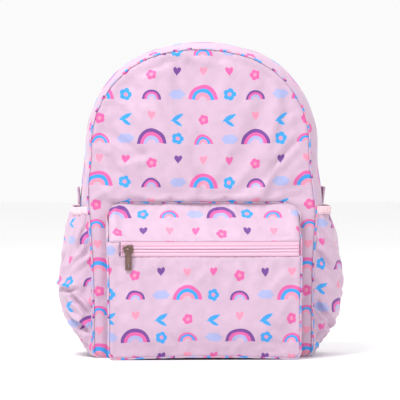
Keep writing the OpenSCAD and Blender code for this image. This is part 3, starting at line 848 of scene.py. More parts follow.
def arch_path(step, z_end, y):
    """Points of the main zipper's line at a depth, with the way outward at each."""
    straight = spaced(z_end, ARC_Z, step)[:-1]
    turn = np.linspace(-math.pi / 2, math.pi / 2, int(math.pi * ZIP_R / step) + 1)
    x = np.concatenate([-ZIP_R + 0 * straight, ZIP_R * np.sin(turn), ZIP_R + 0 * straight])
    z = np.concatenate([straight, ARC_Z + ZIP_R * np.cos(turn), straight[::-1]])
    out = np.concatenate([np.tile([-1, 0, 0], (len(straight), 1)),
                          np.stack([np.sin(turn), 0 * turn, np.cos(turn)], 1),
                          np.tile([1, 0, 0], (len(straight), 1))])
    return filled(np.stack([x, y + 0 * x, z], 1)), out


def resample(path, step):
    length = run_length(path)
    at = np.arange(step / 2, length[-1], step)
    return np.stack([np.interp(at, length, path[:, k]) for k in range(3)], 1)


def bar_row(name, path, out, pitch, bars, sides, placed, materials):
    """A small closed bar at each step of a path.

    bars are a bar's rings as (reach, girth). placed gives the points of the rings from the spot, the
    ways outward and along there, a ring's reach and girth, and the angle round it."""
    path = np.asarray(path, float)
    out = np.broadcast_to(np.asarray(out, float), path.shape)
    spots = resample(path, pitch)
    here, there = np.linspace(0, 1, len(spots)), np.linspace(0, 1, len(path))
    outs = np.stack([np.interp(here, there, out[:, k]) for k in range(3)], 1)
    alongs = unit(np.gradient(spots, axis=0))
    reach, girth = np.array(bars).T[:, None, :, None, None]
    a = np.linspace(0, math.tau, sides, endpoint=False)[None, None, :, None]
    points = placed(spots[:, None, None], outs[:, None, None], alongs[:, None, None], reach, girth, a).reshape(-1, 3)
    faces, last = [], (len(bars) - 1) * sides
    for first in range(0, len(points), len(bars) * sides):
        for k in range(first, first + last, sides):
            faces += [(k + j, k + (j + 1) % sides, k + (j + 1) % sides + sides, k + j + sides) for j in range(sides)]
        faces.append(tuple(first + j for j in reversed(range(sides))))
        faces.append(tuple(first + last + j for j in range(sides)))
    return outward_normals(mesh_piece(name, points, faces, points[:, :2], materials))


def teeth(name, path, out, across, side):
    """One side of a coil: a small rounded bar for each turn, which leans along the chain."""
    def placed(spot, outward, along, reach, girth, a):
        centre = spot + across * (side * 1.65 + reach) + along * reach * side * 0.12
        return centre + girth * (along * 0.62 * np.cos(a) + outward * 1.1 * np.sin(a))
    bars = [(-1.55, 0.5), (-1.25, 0.9), (1.25, 1.0), (1.55, 0.55)]
    return bar_row(name, path, out, COIL_PITCH, bars, 8, placed, (COIL,))


def stitches(name, path, out, pitch=3.0, width=0.55, raised=0.25):
    """Thread showing as a row of short rounded dashes."""
    def placed(spot, outward, along, reach, girth, a):
        sink = raised - 0.5 * (reach / 0.38) ** 2
        return (spot + along * reach * pitch + outward * sink
                + girth * width / 2 * (np.cross(along, outward) * np.cos(a) + outward * np.sin(a)))
    return bar_row(name, path, out, pitch, [(-0.38, 0.3), (-0.28, 1.0), (0.28, 1.0), (0.38, 0.3)], 6, placed, (THREAD,))


def make_main_zipper():
    across = np.array([0, 1.0, 0])
    for side, where, body in ((-1, "front", "flap"), (1, "rear", "shell")):
        z_end = low(f"zip_tape_{where}")[2]
        path, out = arch_path(4, z_end, side * 5.4)
        tape = sweep(f"zip_tape_{where}_weave", path, out, loop_section(8.4, 0.8, 5, 12), (TAPE,))
        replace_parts(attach(tape, body), f"zip_tape_{where}")
        path, out = arch_path(2, z_end, 0)
        coil = teeth(f"zip_coil_{where}_turns", path, out, across, side)
        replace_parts(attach(coil, body), f"zip_coil_{where}")
        path, out = arch_path(3, z_end + 9, side * 10.6)
        radial = 0.9 if side < 0 else 1.1
        line = stitches(f"zip_stitching_{where}", path + out * radial, out)
        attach(line, body)


def make_pocket_zipper():
    x0, x1 = low("pocket_zip_tape_lower")[0], high("pocket_zip_tape_lower")[0]
    xs = spaced(x0, x1, 5)
    front = np.array([0, -1.0, 0])
    for side, where, body in ((-1, "lower", "shell"), (1, "upper", "pocket_lid")):
        edge = low("pocket_zip_tape_lower")[2] if side < 0 else high("pocket_zip_tape_upper")[2]
        ease = (xs - x0) / (x1 - x0)
        centre = ZIP_Z - 0.7 * np.sin(math.pi * ease)
        rows = [(0.0, -0.2), (0.5, -0.7), (1.7, -1.3), (3.0, -1.0), (3.5, 0.0), (4.1, -0.5),
                (5.6, -0.9), (7.0, -0.7), (8.6, -0.3)]
        share = np.array([d for d, _ in rows]) / 8.6
        depth = np.array([h for _, h in rows])
        start = centre[:, None] + side * 0.04
        z = start + (edge - start) * share[None, :]
        y = ZIP_TAPE_Y + depth[None, :] + 0.25 * ripple(xs, xs * 0, 30, 5)[:, None]
        points = np.stack([xs[:, None] + 0 * z, y, z], -1)
        cloth = np.stack([xs[:, None] + 0 * z, z - ZIP_Z], -1)
        tape = grid_piece(f"pocket_zip_tape_{where}_weave", points, cloth, (POCKET_TAPE,), (0, 0, ZIP_Z))
        finer(thicken(tape, 0.7), 2)
        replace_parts(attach(tape, body), f"pocket_zip_tape_{where}")
        path = np.stack([xs, ZIP_TAPE_Y + 1.2 + 0 * xs, centre], 1)
        coil = teeth(f"pocket_zip_coil_{where}_turns", path, front, np.array([0, 0, 1.0]), side * 0.75)
        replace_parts(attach(coil, body), f"pocket_zip_coil_{where}")
    stops = []
    for x in (x0 + 1.6, x1 - 1.2):
        path = np.stack([x + 0 * np.arange(9), ZIP_TAPE_Y - 0.8 + 0 * np.arange(9), ZIP_Z - 5 + 1.25 * np.arange(9)], 1)
        stops.append(sweep("stop", path, front, loop_section(2.0, 1.2, 2.5, 8), (THREAD,)))
    bar = joined("pocket_zip_bar_tacks", stops)
    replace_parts(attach(bar, "shell"), "pocket_zip_stops")


def tape_with_painted_groove_shade():
    """Zipper tape with painted shade in its colour: darker bands at the slit between the two tapes, along the groove
    beside the chain and towards the tape's outer edge.
    """
    shade = Shade("pocket_zip_tape", Roughness=0.6, Sheen_Weight=0.2)
    flat = shade.cloth()
    split = shade.node("SeparateXYZ", flat)
    across = shade.math("ABSOLUTE", split.outputs[1])
    sag = shade.math("MULTIPLY", shade.noise(flat, 0.03, 1.0)[0], 0.3)
    # painted shade: the ramp below darkens the slit at 0, the groove from 3 to 4 mm out, and the band from 6 mm out to
    # the edge, darkest past 8.4 mm
    colour, _ = shade.ramp(shade.math("DIVIDE", shade.math("ADD", across, sag), 10.0), [
        (0, tone(196, 134, 164)), (0.06, tone(226, 186, 208)), (0.30, tone(198, 138, 168)), (0.40, tone(228, 188, 209)),
        (0.60, tone(216, 174, 196)), (0.84, tone(178, 120, 148))])
    normal, _ = weave(shade, flat, 0.5, 0.4, 0.2 * MM)
    shade.link(colour, "Base Color")
    shade.link(normal, "Normal")
    return shade.material


POCKET_TAPE = tape_with_painted_groove_shade()


# ---------- Metal parts ----------

def cut_plate(name, outline, holes, thickness, bevel, material):
    """A flat part with rounded edges, from an outline and holes in its own XY plane, in millimetres."""
    curve = bpy.data.curves.new(name, "CURVE")
    curve.dimensions = "2D"
    curve.fill_mode = "BOTH"
    curve.extrude = (thickness / 2 - bevel) * MM
    curve.bevel_depth = bevel * MM
    curve.bevel_resolution = 2
    for loop in [outline] + list(holes):
        spline = curve.splines.new("POLY")
        spline.points.add(len(loop) - 1)
        for point, (x, y) in zip(spline.points, loop):
            point.co = (x * MM, y * MM, 0, 1)
        spline.use_cyclic_u = True
    maker = bpy.data.objects.new(name + "_curve", curve)
    bpy.context.scene.collection.objects.link(maker)
    mesh = bpy.data.meshes.new_from_object(maker)
    bpy.data.objects.remove(maker)
    mesh.name = name
    mesh.materials.clear()
    mesh.materials.append(material)
    mesh.polygons.foreach_set("use_smooth", [True] * len(mesh.polygons))
    layer = mesh.uv_layers.new(name="cloth")
    for loop in mesh.loops:
        co = mesh.vertices[loop.vertex_index].co
        layer.data[loop.index].uv = (co.x / MM, co.y / MM)
    piece = bpy.data.objects.new(name, mesh)
    bpy.context.scene.collection.objects.link(piece)
    outward_normals(piece, weld=True)
    edges = piece.modifiers.new("edges", "WEIGHTED_NORMAL")
    edges.keep_sharp = False
    return piece


def round_rect(width, height, radius, centre=(0, 0)):
    n, points = 5, []
    for k, (sx, sy) in enumerate(((1, 1), (-1, 1), (-1, -1), (1, -1))):
        for i in range(n + 1):
            a = math.pi / 2 * (k + i / n)
            points.append((centre[0] + sx * (width / 2 - radius) + radius * math.cos(a),
                           centre[1] + sy * (height / 2 - radius) + radius * math.sin(a)))
    return points


def shifted(piece, offset):
    piece.data.transform(Matrix.Translation(Vector(offset) * MM))
    return piece


def tube(name, path, radius, material, flatten=1.0, out=(0, 0, 1)):
    path = np.asarray(path, float)
    return sweep(name, path, out, loop_section(2 * radius, 2 * radius * flatten, 2, 12), (material,))


SLIDER_IN = 1.7
PLATE_T = 1.2
BRIDGE_Z = 4.9


def slider_mesh(name):
    """A cast slider: two waisted plates joined by a post, and two ears that hold the pull's pin."""
    body = [(-5.5, 2.6), (-3.5, 3.4), (-0.5, 4.4), (3.0, 4.5), (5.0, 4.1), (5.5, 3.2)]
    outline = body + [(x, -y) for x, y in reversed(body)]
    parts = []
    for z in (-SLIDER_IN - PLATE_T / 2, SLIDER_IN + PLATE_T / 2):
        parts.append(shifted(cut_plate("plate", outline, [], PLATE_T, 0.35, BRONZE), (0, 0, z)))
    parts.append(cut_plate("post", round_rect(3.4, 1.1, 0.5, (-3.6, 0)), [], 2 * SLIDER_IN + 0.6, 0.1, BRONZE))
    for x in (-3.2, 3.2):
        rise = np.linspace(0, 1, 9)
        height = SLIDER_IN + PLATE_T - 0.3 + rise * (BRIDGE_Z + 1.0 - SLIDER_IN - PLATE_T)
        path = np.stack([x + 0.5 * np.sin(rise * math.pi) * np.sign(x), 0 * rise, height], 1)
        parts.append(tube("ear", path, 1.05, BRONZE, 0.6, (1, 0, 0)))
    pin = np.linspace(-3.9, 3.9, 7)
    parts.append(tube("pin", np.stack([pin, 0 * pin, BRIDGE_Z + 0 * pin], 1), 0.8, BRONZE))
    return joined(name, parts)


def pull_mesh(name, tab_length=24.0):
    """A knuckle with a neck and a long flat tab with a slot at its end, pointing to +Y."""
    around = np.linspace(0, math.tau, 25)[:-1]
    knuckle = sweep("knuckle", np.stack([0 * around, 1.3 * np.cos(around), BRIDGE_Z + 1.3 * np.sin(around)], 1),
                    np.stack([0 * around, np.cos(around), np.sin(around)], 1),
                    loop_section(4.2, 0.8, 3, 8), (BRONZE,), closed=True)
    neck = cut_plate("neck", [(-1.9, 1.2), (1.9, 1.2), (2.3, 4.4), (-2.3, 4.4)], [], 1.3, 0.3, BRONZE)
    tab = cut_plate("tab", round_rect(6.5, tab_length - 3, 1.3, (0, 3 + (tab_length - 3) / 2)),
                    [round_rect(2.4, 5.0, 1.1, (0, tab_length - 5))], 1.5, 0.45, BRONZE)
    rim = []
    for x in (-2.1, 2.1):
        ys = np.linspace(5.0, tab_length - 2.5, 12)
        rim.append(tube("rim", np.stack([x + 0 * ys, ys, BRIDGE_Z + 0.75 + 0 * ys], 1), 0.35, BRONZE))
    return joined(name, [knuckle, shifted(neck, (0, 0, BRIDGE_Z)), shifted(tab, (0, 0, BRIDGE_Z))] + rim)


def make_sliders():
    for side, word in ((-1, "left"), (1, "right")):
        turn = side * math.radians(4.5)
        at = Matrix.Translation(Vector((0, 0, ARC_Z * MM))) @ Matrix.Rotation(turn, 4, "Y") @ Matrix.Translation(
            Vector((0, 0, ZIP_R * MM)))
        if side < 0:
            at = at @ Matrix.Rotation(math.pi, 4, "Z") @ Matrix.Scale(-1, 4, Vector((0, 1, 0)))
        for maker, kind, body in ((slider_mesh, "slider", f"slider_{word}"), (pull_mesh, "pull", f"pull_{word}")):
            piece = maker(f"main_{kind}_{word}_metal")
            piece.data.transform(at)
            if side < 0:
                piece.data.flip_normals()
            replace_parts(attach(piece, body), f"main_{kind}_{word}")
    x = pivot("pocket_pull_swing")[0]
    at = Matrix.Translation(Vector((x, ZIP_TAPE_Y, ZIP_Z)) * MM) @ Matrix.Rotation(math.pi / 2, 4, "X")
    slider = slider_mesh("pocket_slider_metal")
    slider.data.transform(at)
    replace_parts(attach(slider, "pocket_slider"), "pocket_slider")
    pull = pull_mesh("pocket_pull_metal")
    pull.data.transform(at @ Matrix.Rotation(math.pi, 4, "Z"))
    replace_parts(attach(pull, "pocket_pull"), "pocket_pull")


# ---------- Front pocket ----------

def pocket_outline(inset=0.0, step=4.0):
    """The pocket front's outline from its upper left, down, along the base and up to its upper right."""
    w, r = POCKET_HW - inset, 9.0
    left = [(-w, z) for z in spaced(ZIP_LOW_Z, r + inset, step)]
    turn = np.linspace(0, math.pi / 2, 6)[1:-1]
    corner = [(-w + r - r * math.cos(a), r + inset - r * math.sin(a)) for a in turn]
    base = [(x, inset) for x in spaced(-w + r, w - r, step)]
    half = left + corner + base
    return np.array(half + [(-x, z) for x, z in reversed(left + corner)])


def make_pocket_front():
    rim = pocket_outline()
    x0, x1 = low("pocket_zip_tape_lower")[0], high("pocket_zip_tape_lower")[0]
    top = [(POCKET_HW, LIP_Z - 0.6), (x1 - 0.9, LIP_Z - 0.6)]
    top += [(x1 - 0.9, z) for z in spaced(LIP_Z - 4, ZIP_LOW_Z + 0.9, 4)]
    top += [(x, ZIP_LOW_Z + 0.9) for x in spaced(x1 - 4, x0 + 4, 4)]
    top += [(x0 + 1.2, z) for z in spaced(ZIP_LOW_Z + 0.9, LIP_Z - 0.6, 4)]
    top += [(x, LIP_Z - 0.6) for x in spaced(x0 - 4, -POCKET_HW, 4)]
    border = np.vstack([rim, top])
    flat, faces = flat_panel(border, 4.0)
    x, z = flat[:, 0], flat[:, 1]
    inner = edge_gap(flat, border)
    free = smooth(inner / 14)
    lump = 0.9 * ripple(x, z, 40, 8) + 0.8 * folds(x, z * 0.8, 34, 9)
    y = POCKET_Y + 1.0 - 1.2 * smooth(inner / 4) - 2.4 * smooth(inner / 45) - lump * free * 0.7
    points = filled(np.stack([x, y, z], 1))
    cloth = np.stack([x + 20, z + 30], 1)
    piece = face_away(mesh_piece("pocket_front_cloth", points, faces, cloth, BOTH), (0, 0, 60))
    settle(piece, free, 0.026, 0.8, cap=4)
    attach(thicken(piece, CLOTH_T, 1), "shell")
    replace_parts(piece, "pocket_panel")
    return piece


def make_pocket_gusset():
    rim = pocket_outline(0.3, 3.6)
    depth = np.concatenate([[POCKET_Y + 0.8], spaced(POCKET_Y + 2.0, FRONT_Y - 0.3, 3.2)])
    full = np.vstack([[(rim[0][0], LIP_Z - 0.7)], rim, [(rim[-1][0], LIP_Z - 0.7)]])
    share = (depth - POCKET_Y) / (FRONT_Y - POCKET_Y)
    top = LIP_Z - 1.0 + share * (LID_TOP_Z - LIP_Z - 2.0)
    x, z = full[:, :1] + 0 * share, full[:, 1:] + 0 * share
    z = np.where(z > 20, 20 + (z - 20) * (top - 20) / (LIP_Z - 0.7 - 20), z)
    bow = np.sin(math.pi * share)[None, :] * smooth(z / 25)
    wave = 0.8 * ripple(z, depth[None, :] * 1.5, 26, 12) * np.sin(math.pi * share)[None, :]
    tuck_in = lid_rounding(share)[None, :] * smooth((z - top + 16) / 15)
    x = x - np.sign(x) * (1.6 * bow + wave * smooth(z / 20) + tuck_in)
    points = filled(np.stack([x, depth[None, :] + 0 * x, z], -1))
    length = np.concatenate([[0], np.cumsum(np.hypot(*np.diff(full, axis=0).T))])
    cloth = np.stack([length[:, None] + 0 * z, 60 - (depth[None, :] - POCKET_Y) + 0 * z], -1)
    piece = grid_piece("pocket_gusset_cloth", points, cloth, BOTH, (0, -70, 90))
    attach(thicken(piece, CLOTH_T, 1), "shell")
    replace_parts(piece, "pocket_gusset")
    return piece


def make_pocket_seams():
    """The pinched seam round the pocket's front."""
    rim = pocket_outline(0.2, 3.0)
    path = filled(np.stack([rim[:, 0], POCKET_Y + 0.4 + 0 * rim[:, 0], rim[:, 1]], 1))
    sideways = unit(np.gradient(path, axis=0))
    outward = unit(np.cross(sideways, [0, 1.0, 0]) + [0, -0.8, 0])
    path = path + outward * (0.35 * ripple(np.arange(len(path)) * 3.0, 0, 9, 15))[:, None]
    seam = sweep("pocket_seam_ridge", path, outward, loop_section(1.5, 2.4, 2, 10), (PRINT,))
    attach(seam, "shell")


LID_HW = POCKET_HW - 1.0


def lid_rounding(s):
    """How far each end of the lid draws in towards its top seam."""
    return 13.0 * (1 - np.sqrt(np.clip(1 - np.clip((s - 0.72) / 0.28, 0, 1) ** 2, 0, 1)))


def lid_point(x, s):
    """A point of the lid, s from 0 at its lip to 1 at its top seam."""
    s = np.clip(s, 0, 1)
    round_top = lid_rounding(s)
    y = POCKET_Y + 0.3 + (LID_TOP_Y - POCKET_Y - 0.8) * s
    z = LIP_Z - 0.8 + (LID_TOP_Z - LIP_Z + 0.8) * s
    return x * (LID_HW - round_top) / LID_HW, y, z


def make_lid():
    xs, ss = spaced(-LID_HW, LID_HW, 3.4), spaced(0, 1, 0.058)
    x, s = np.meshgrid(xs, ss, indexing="ij")
    px, y, z = lid_point(x, s)
    border = np.minimum(smooth(s / 0.12) * smooth((1 - s) / 0.12), smooth((LID_HW - np.abs(x)) / 9))
    lump = 1.0 * ripple(x, s * 60, 30, 17) + 0.8 * folds(x, s * 45, 26, 18) + 2.2 * np.sin(math.pi * s)
    normal = np.array([0, -0.75, 0.66])
    points = np.stack([px, y, z], -1) + normal * (lump * border)[..., None]
    cloth = np.stack([x + 40, s * 56 + 15], -1)
    piece = grid_piece("pocket_lid_cloth", points, cloth, BOTH, (0, -60, 100))
    settle(piece, border.ravel() ** 0.7, 0.03, 0.5, cap=3.5, gravity=0.6)
    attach(thicken(piece, CLOTH_T, 1), "pocket_lid")
    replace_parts(piece, "pocket_top")
    xs = spaced(-LID_HW + 13, LID_HW - 13, 2.5)
    px, y, z = lid_point(xs, np.ones_like(xs))
    path = np.stack([xs, y + 0.6, z + 0.5 + 0.35 * ripple(xs, 0, 8, 19)], 1)
    seam = sweep("pocket_lid_seam", path, (0, -0.6, 0.8), loop_section(1.8, 2.6, 2, 10), (PRINT,))
    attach(seam, "pocket_lid")


# ---------- Side pockets ----------

POCKET_PROFILE = [(8, 0.03), (10, 0.045), (20, 0.2), (28, 0.39), (36, 0.57), (44, 0.75), (54, 0.88), (66, 0.96),
                  (80, 1.0), (100, 0.96), (125, 0.89), (148, 0.74), (MOUTH_Z, 0.46)]


def pocket_share(z):
    """How much of the full bulge a side pocket has at a height, with the steps rounded off."""
    heights, shares = np.array(POCKET_PROFILE).T
    return sum(np.interp(z + d, heights, shares) for d in (-5, -2.5, 0, 2.5, 5)) / 5


def side_x(y, z):
    w = HALF_W - EDGE * (np.abs(y) / HALF_D) ** 6
    up = np.maximum(0, CORNER_R - z)
    return w - CORNER_R + np.sqrt(CORNER_R ** 2 - up * up)


def crease(s, z, start, end, depth, width):
    """A pressed-in line between two points, with a soft swell beside it."""
    p, q = np.array(start, float), np.array(end, float)
    d = q - p
    t = np.clip(((s - p[0]) * d[0] + (z - p[1]) * d[1]) / (d @ d), 0, 1)
    off = np.hypot(s - p[0] - t * d[0], z - p[1] - t * d[1])
    taper = smooth(t / 0.15) * smooth((1 - t) / 0.35) * 0.8 + 0.2
    swell = 0.55 * np.exp(-((off - 2.1 * width) / (1.3 * width)) ** 2)
    return 1.45 * depth * taper * (swell - np.exp(-(off / width) ** 2))


# Where each side pocket is creased: (start, end, depth, width) over (way round from the front seam, height)
CREASES = {
    1: [((2, 66), (36, 26), 5.0, 2.4), ((8, 44), (52, 20), 3.6, 2.8), ((0, 124), (30, 100), 2.4, 3.0),
        ((40, 92), (66, 74), 2.4, 2.8), ((4, 18), (26, 50), 2.2, 2.5), ((6, 150), (22, 128), 2.0, 3.0),
        ((70, 120), (96, 96), 2.4, 3.0), ((64, 40), (96, 62), 2.4, 3.0)],
    -1: [((18, 79), (70, 83), 6.4, 2.0), ((2, 50), (34, 82), 5.4, 2.2), ((0, 28), (42, 52), 5.0, 2.6),
         ((2, 126), (30, 106), 2.6, 2.8), ((6, 12), (36, 30), 2.6, 2.6), ((44, 124), (62, 92), 2.0, 3.2),
         ((10, 154), (20, 118), 2.2, 2.4), ((70, 110), (98, 86), 2.4, 3.0), ((62, 50), (92, 34), 2.4, 3.0)],
}


def pouch_rows(side, levels, reach, cols):
    """Points of a side pocket at some heights, and the way round from its front seam."""
    a = np.linspace(0, math.pi, 400)
    rows, ways = [], []
    for z in levels:
        bulge = BULGE * pocket_share(z) + reach
        y = -(HALF_D - 1) * np.cos(a)
        x = side_x(y, z) + 0.3 + bulge * np.sin(a) ** 0.62
        way = np.concatenate([[0], np.cumsum(np.hypot(np.diff(x), np.diff(y)))])
        at = np.linspace(0, way[-1], cols)
        rows.append(np.stack([np.interp(at, way, x), np.interp(at, way, y), z + 0 * at], 1))
        ways.append(at)
    rows, ways = np.array(rows), np.array(ways)
    rows[..., 0] *= side
    return rows, ways


def make_side_pocket(side, word):
    levels = spaced(9, MOUTH_Z - 1, 2.9)
    rows, ways = pouch_rows(side, levels, 0, 62)
    z = rows[..., 2]
    du, dv = np.gradient(rows, axis=1), np.gradient(rows, axis=0)
    normal = unit(np.cross(du, dv))
    normal *= np.sign((normal[..., 0] * side).mean())
    total = ways[:, -1:]
    held = smooth(ways / 7) * smooth((total - ways) / 7) * smooth((z - 9) / 8)
    gather = 1.5 * np.sin(ways / total * math.pi * 25 + 0.8 * np.sin(ways * 0.2)) * np.exp(-(MOUTH_Z - z) / 15)
    tuck = 1.6 * np.sin(ways / total * math.pi * 15 + 1) * np.exp(-(z - 9) / 16)
    lump = 1.6 * ripple(ways, z, 28, 40 + side) + 1.9 * folds(ways + z * 0.4, z, 30, 44 + side) - 0.9
    bent = sum(crease(ways, z, *line) for line in CREASES[side])
    points = rows + normal * ((gather + tuck + lump + bent) * held)[..., None]
    down = 0.35 * np.exp(-(MOUTH_Z - z) / 40) * 6 * np.sin(ways / total * math.pi) ** 2
    points[..., 2] -= down
    height = MOUTH_Z - run_length(rows[:, 30])[::-1]
    v = np.repeat((z[:, 0] * 0.5 + height * 0.5)[:, None], rows.shape[1], 1)
    if side > 0:
        cloth = np.stack([ways + 20, v], -1)
    else:
        cloth = np.stack([60 - ways, v + 20], -1)
    piece = grid_piece(f"side_pocket_{word}_cloth", points, cloth, BOTH, (side * 100, 0, 90))
    for edge, where in ((0, "front"), (-1, "rear")):
        path = rows[:, edge] + [side * 0.3, 0, 0]
        out = (side * 0.8, -0.6 if edge == 0 else 0.6, 0)
        ridge = sweep(f"side_pocket_{word}_seam_{where}", path, out, loop_section(2.0, 2.2, 2, 8), (PRINT,))
        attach(ridge, "shell")
    settle(piece, (held * 0.85).ravel(), 0.03, 0.35, frames=10, cap=3.5, gravity=0.8)
    finer(thicken(piece, CLOTH_T, 1), 1)
    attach(piece, "shell")
    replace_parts(piece, f"side_pocket_{word}")


def make_side_binding(side, word):
    z = MOUTH_Z - 2.2
    rows, ways = pouch_rows(side, [z], 0.2, 150)
    path = rows[0]
    along = unit(np.gradient(path, axis=0))
    out = np.cross(along, [0, 0, 1.0])
    out *= np.sign((out[:, 0] * side).mean())
    way = ways[0]
    path = path + out * (0.35 + 0.3 * np.sin(way / 3.4 * math.tau))[:, None]
    path[:, 2] += 0.7 * ripple(way, 0, 24, 60 + side) - 2.0 * np.sin(way / way[-1] * math.pi) ** 2 * 0.5
    band = sweep(f"side_binding_{word}_elastic", path, out, loop_section(9.2, 2.4, 3.2, 14), (ELASTIC,))
    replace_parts(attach(band, "shell"), f"side_binding_{word}")
    path = path + out * 1.25
    path[:, 2] -= 3.4
    line = stitches(f"side_binding_{word}_stitching", path, out, 2.8, 0.5)
    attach(line, "shell")


def make_end_tab(side, word):
    """A folded tab of the print, sewn over the zipper's lower end and standing a little off the side."""
    lo, hi = low("zip_end_tab_right"), high("zip_end_tab_right")
    ys, zs = spaced(lo[1] - 5, hi[1], 1.8), spaced(lo[2], hi[2] + 4.5, 1.6)
    y, z = np.meshgrid(ys, zs, indexing="ij")
    share, up = (y - ys[0]) / (ys[-1] - ys[0]), (z - zs[0]) / (zs[-1] - zs[0])
    waist = 1 - 0.22 * (1 - up)
    middle = (ys[0] + ys[-1]) / 2
    fold = 1.4 + 2.4 * up ** 1.5 + 1.1 * np.sin(math.pi * share) + 1.6 * (1 - share) ** 2 * up
    x = lo[0] + 0.4 + fold + belly(z)
    points = np.stack([side * x, middle + (y - middle) * waist, z], -1)
    cloth = np.stack([side * (y + 70), z - 150], -1)
    piece = grid_piece(f"zip_end_tab_{word}_cloth", points, cloth, (PRINT, PRINT), INSIDE)
    finer(thicken(piece, 2.6), 1)
    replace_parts(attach(piece, "shell"), f"zip_end_tab_{word}")


# ---------- Back ----------

def back_r(a, inset):
    return np.minimum(arch_r(a) + 5 - inset, outline_r(a, inset))


def back_loop(inset):
    angles, _ = even_angles(4.0)
    angles = angles[:-1]
    r = back_r(angles, inset)
    return np.stack([r * np.sin(angles), ARC_Z + r * np.cos(angles)], 1)


QUILT_X, QUILT_Z = (-16.0, 16.0), (96.0, 170.0, 244.0)


def make_back_pad():
    border = back_loop(EDGE)
    flat, faces = flat_panel(border, 3.6)
    x, z = flat[:, 0], flat[:, 1]
    inner = edge_gap(flat, border)
    spine = [np.abs(x - at) for at in QUILT_X]
    across = [np.where(np.abs(x) > QUILT_X[1], np.abs(z - at), 99) for at in QUILT_Z]
    sewn = np.minimum.reduce(spine + across)
    lower_corner = smooth((np.abs(x) - 78) / 12) * smooth((78 - z) / 14)
    under_yoke = smooth((z - 300) / 18)
    puff = 3.4 * smooth(inner / 20) * (1 - np.exp(-(sewn / 6.5) ** 1.6)) * (1 - lower_corner) * (1 - under_yoke)
    lump = 0.5 * ripple(x, z, 26, 70) * smooth(inner / 10) * (1 - under_yoke)
    y = BACK_Y - 0.9 + 0.8 * smooth(inner / 3) + puff + lump * (1 - lower_corner)
    y = np.minimum(y, BACK_Y + 4.6)
    points = np.stack([x, y, z], 1)
    cloth = np.stack([-x + 20, z - 200], 1)
    piece = face_away(mesh_piece("back_pad_cloth", points, faces, cloth, (PRINT, PRINT)), INSIDE)
    thicken(piece, 1.2)
    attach(piece, "shell")
    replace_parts(piece, "back_panel", "back_foam")
    lines = []
    for at in QUILT_X:
        zs = spaced(20, 300, 3)
        lines.append(np.stack([at + 0 * zs, BACK_Y + 0.1 + 0 * zs, zs], 1))
    for at in QUILT_Z:
        for s in (-1, 1):
            xs = spaced(s * 18, s * 118, 3)
            lines.append(np.stack([xs, BACK_Y + 0.1 + 0 * xs, at + 0 * xs], 1))
    rows = [stitches("row", line, (0, 1.0, 0), 3.2, 0.6) for line in lines]
    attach(joined("back_quilt_stitching", rows), "shell")


def puffed(name, outline, y_mid, half_t, spacing, edge, materials, uv_shift):
    """A thin sewn piece from a flat outline, rounded on both faces and closed at its edge."""
    outline = np.asarray(outline, float)
    flat, faces = flat_panel(outline, spacing)
    inner = edge_gap(flat, outline)
    swell = half_t * np.sqrt(np.clip(inner / edge, 0, 1) * (2 - np.clip(inner / edge, 0, 1)))
    n = len(outline)
    rim = np.arange(len(flat)) < n
    front = np.stack([flat[:, 0], y_mid + swell, flat[:, 1]], 1)
    back = np.stack([flat[:, 0], y_mid - swell, flat[:, 1]], 1)
    index = np.where(rim, np.arange(len(flat)), np.arange(len(flat)) + len(flat) - n)
    points = np.vstack([front, back[~rim]])
    both = [tuple(f) for f in faces] + [tuple(int(index[k]) for k in reversed(f)) for f in faces]
    cloth = np.vstack([flat, flat[~rim]]) * [-1, 1] + np.array(uv_shift)
    piece = mesh_piece(name, points, both, cloth, materials)
    return outward_normals(piece)


def dense(corners, step=3.0):
    """A closed polygon with points along its sides."""
    corners = np.asarray(corners, float)
    points = []
    for p, q in zip(corners, np.roll(corners, -1, 0)):
        n = max(1, int(np.linalg.norm(q - p) / step))
        points += [p + (q - p) * k / n for k in range(n)]
    return np.array(points)


def make_yoke():
    turn = np.radians(np.linspace(-34, 34, 40))
    lo, hi = low("back_yoke"), high("back_yoke")
    r = hi[2] - ARC_Z
    top = np.stack([r * np.sin(turn), ARC_Z + r * np.cos(turn)], 1)
    bottom = np.stack([spaced(hi[0] - 2, lo[0] + 2, 3), 0 * spaced(hi[0] - 2, lo[0] + 2, 3) + lo[2]], 1)
    outline = np.vstack([top, bottom])
    piece = puffed("back_yoke_cloth", outline, (lo[1] + hi[1]) / 2, 0.65, 4, 3, (PRINT,), (55, -290))
    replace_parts(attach(piece, "shell"), "back_yoke")
    rows = []
    for lift in (3.0, 5.5):
        xs = spaced(-76, 76, 3)
        rows.append(stitches("row", np.stack([xs, hi[1] - 0.1 + 0 * xs, lo[2] + lift + 0 * xs], 1),
                             (0, 1.0, 0), 3.0, 0.55))
    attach(joined("back_yoke_stitching", rows), "shell")


def make_anchor(side, word):
    lo, hi = low("strap_anchor_right"), high("strap_anchor_right")
    corners = [(125, 12), (125, 62), (110, 66), (92, 54)]
    outline = dense([(side * x, z) for x, z in corners], 3)
    piece = puffed(f"strap_anchor_{word}_cloth", outline, (lo[1] + hi[1]) / 2, 1.2, 3.2, 3, (PRINT,), (20, 10))
    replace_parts(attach(piece, "shell"), f"strap_anchor_{word}")
    inner = dense([(side * 122, 18), (side * 122, 58.5), (side * 110.5, 62), (side * 97, 53.5)], 3)
    path = np.stack([inner[:, 0], hi[1] + 0 * inner[:, 0] - 0.1, inner[:, 1]], 1)
    line = stitches(f"strap_anchor_{word}_stitching", path, (0, 1.0, 0), 2.8, 0.5)
    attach(line, "shell")


STRAP_T, STRAP_BOW, STRAP_HALF = 8.0, 34.4, 25.0
STRAP_Y = BACK_Y + 1.6


def strap_at(t):
    x = 48 + 36 * np.sin(math.pi / 2 * t) + 8 * t
    y = STRAP_Y + STRAP_BOW * np.sin(math.pi * t) ** 1.5
    return np.stack([x, y, STRAP_TOP_Z + (STRAP_END_Z - STRAP_TOP_Z) * t], -1)


def strap_half(t):
    return STRAP_HALF - (STRAP_HALF - 13) * t ** 2.2


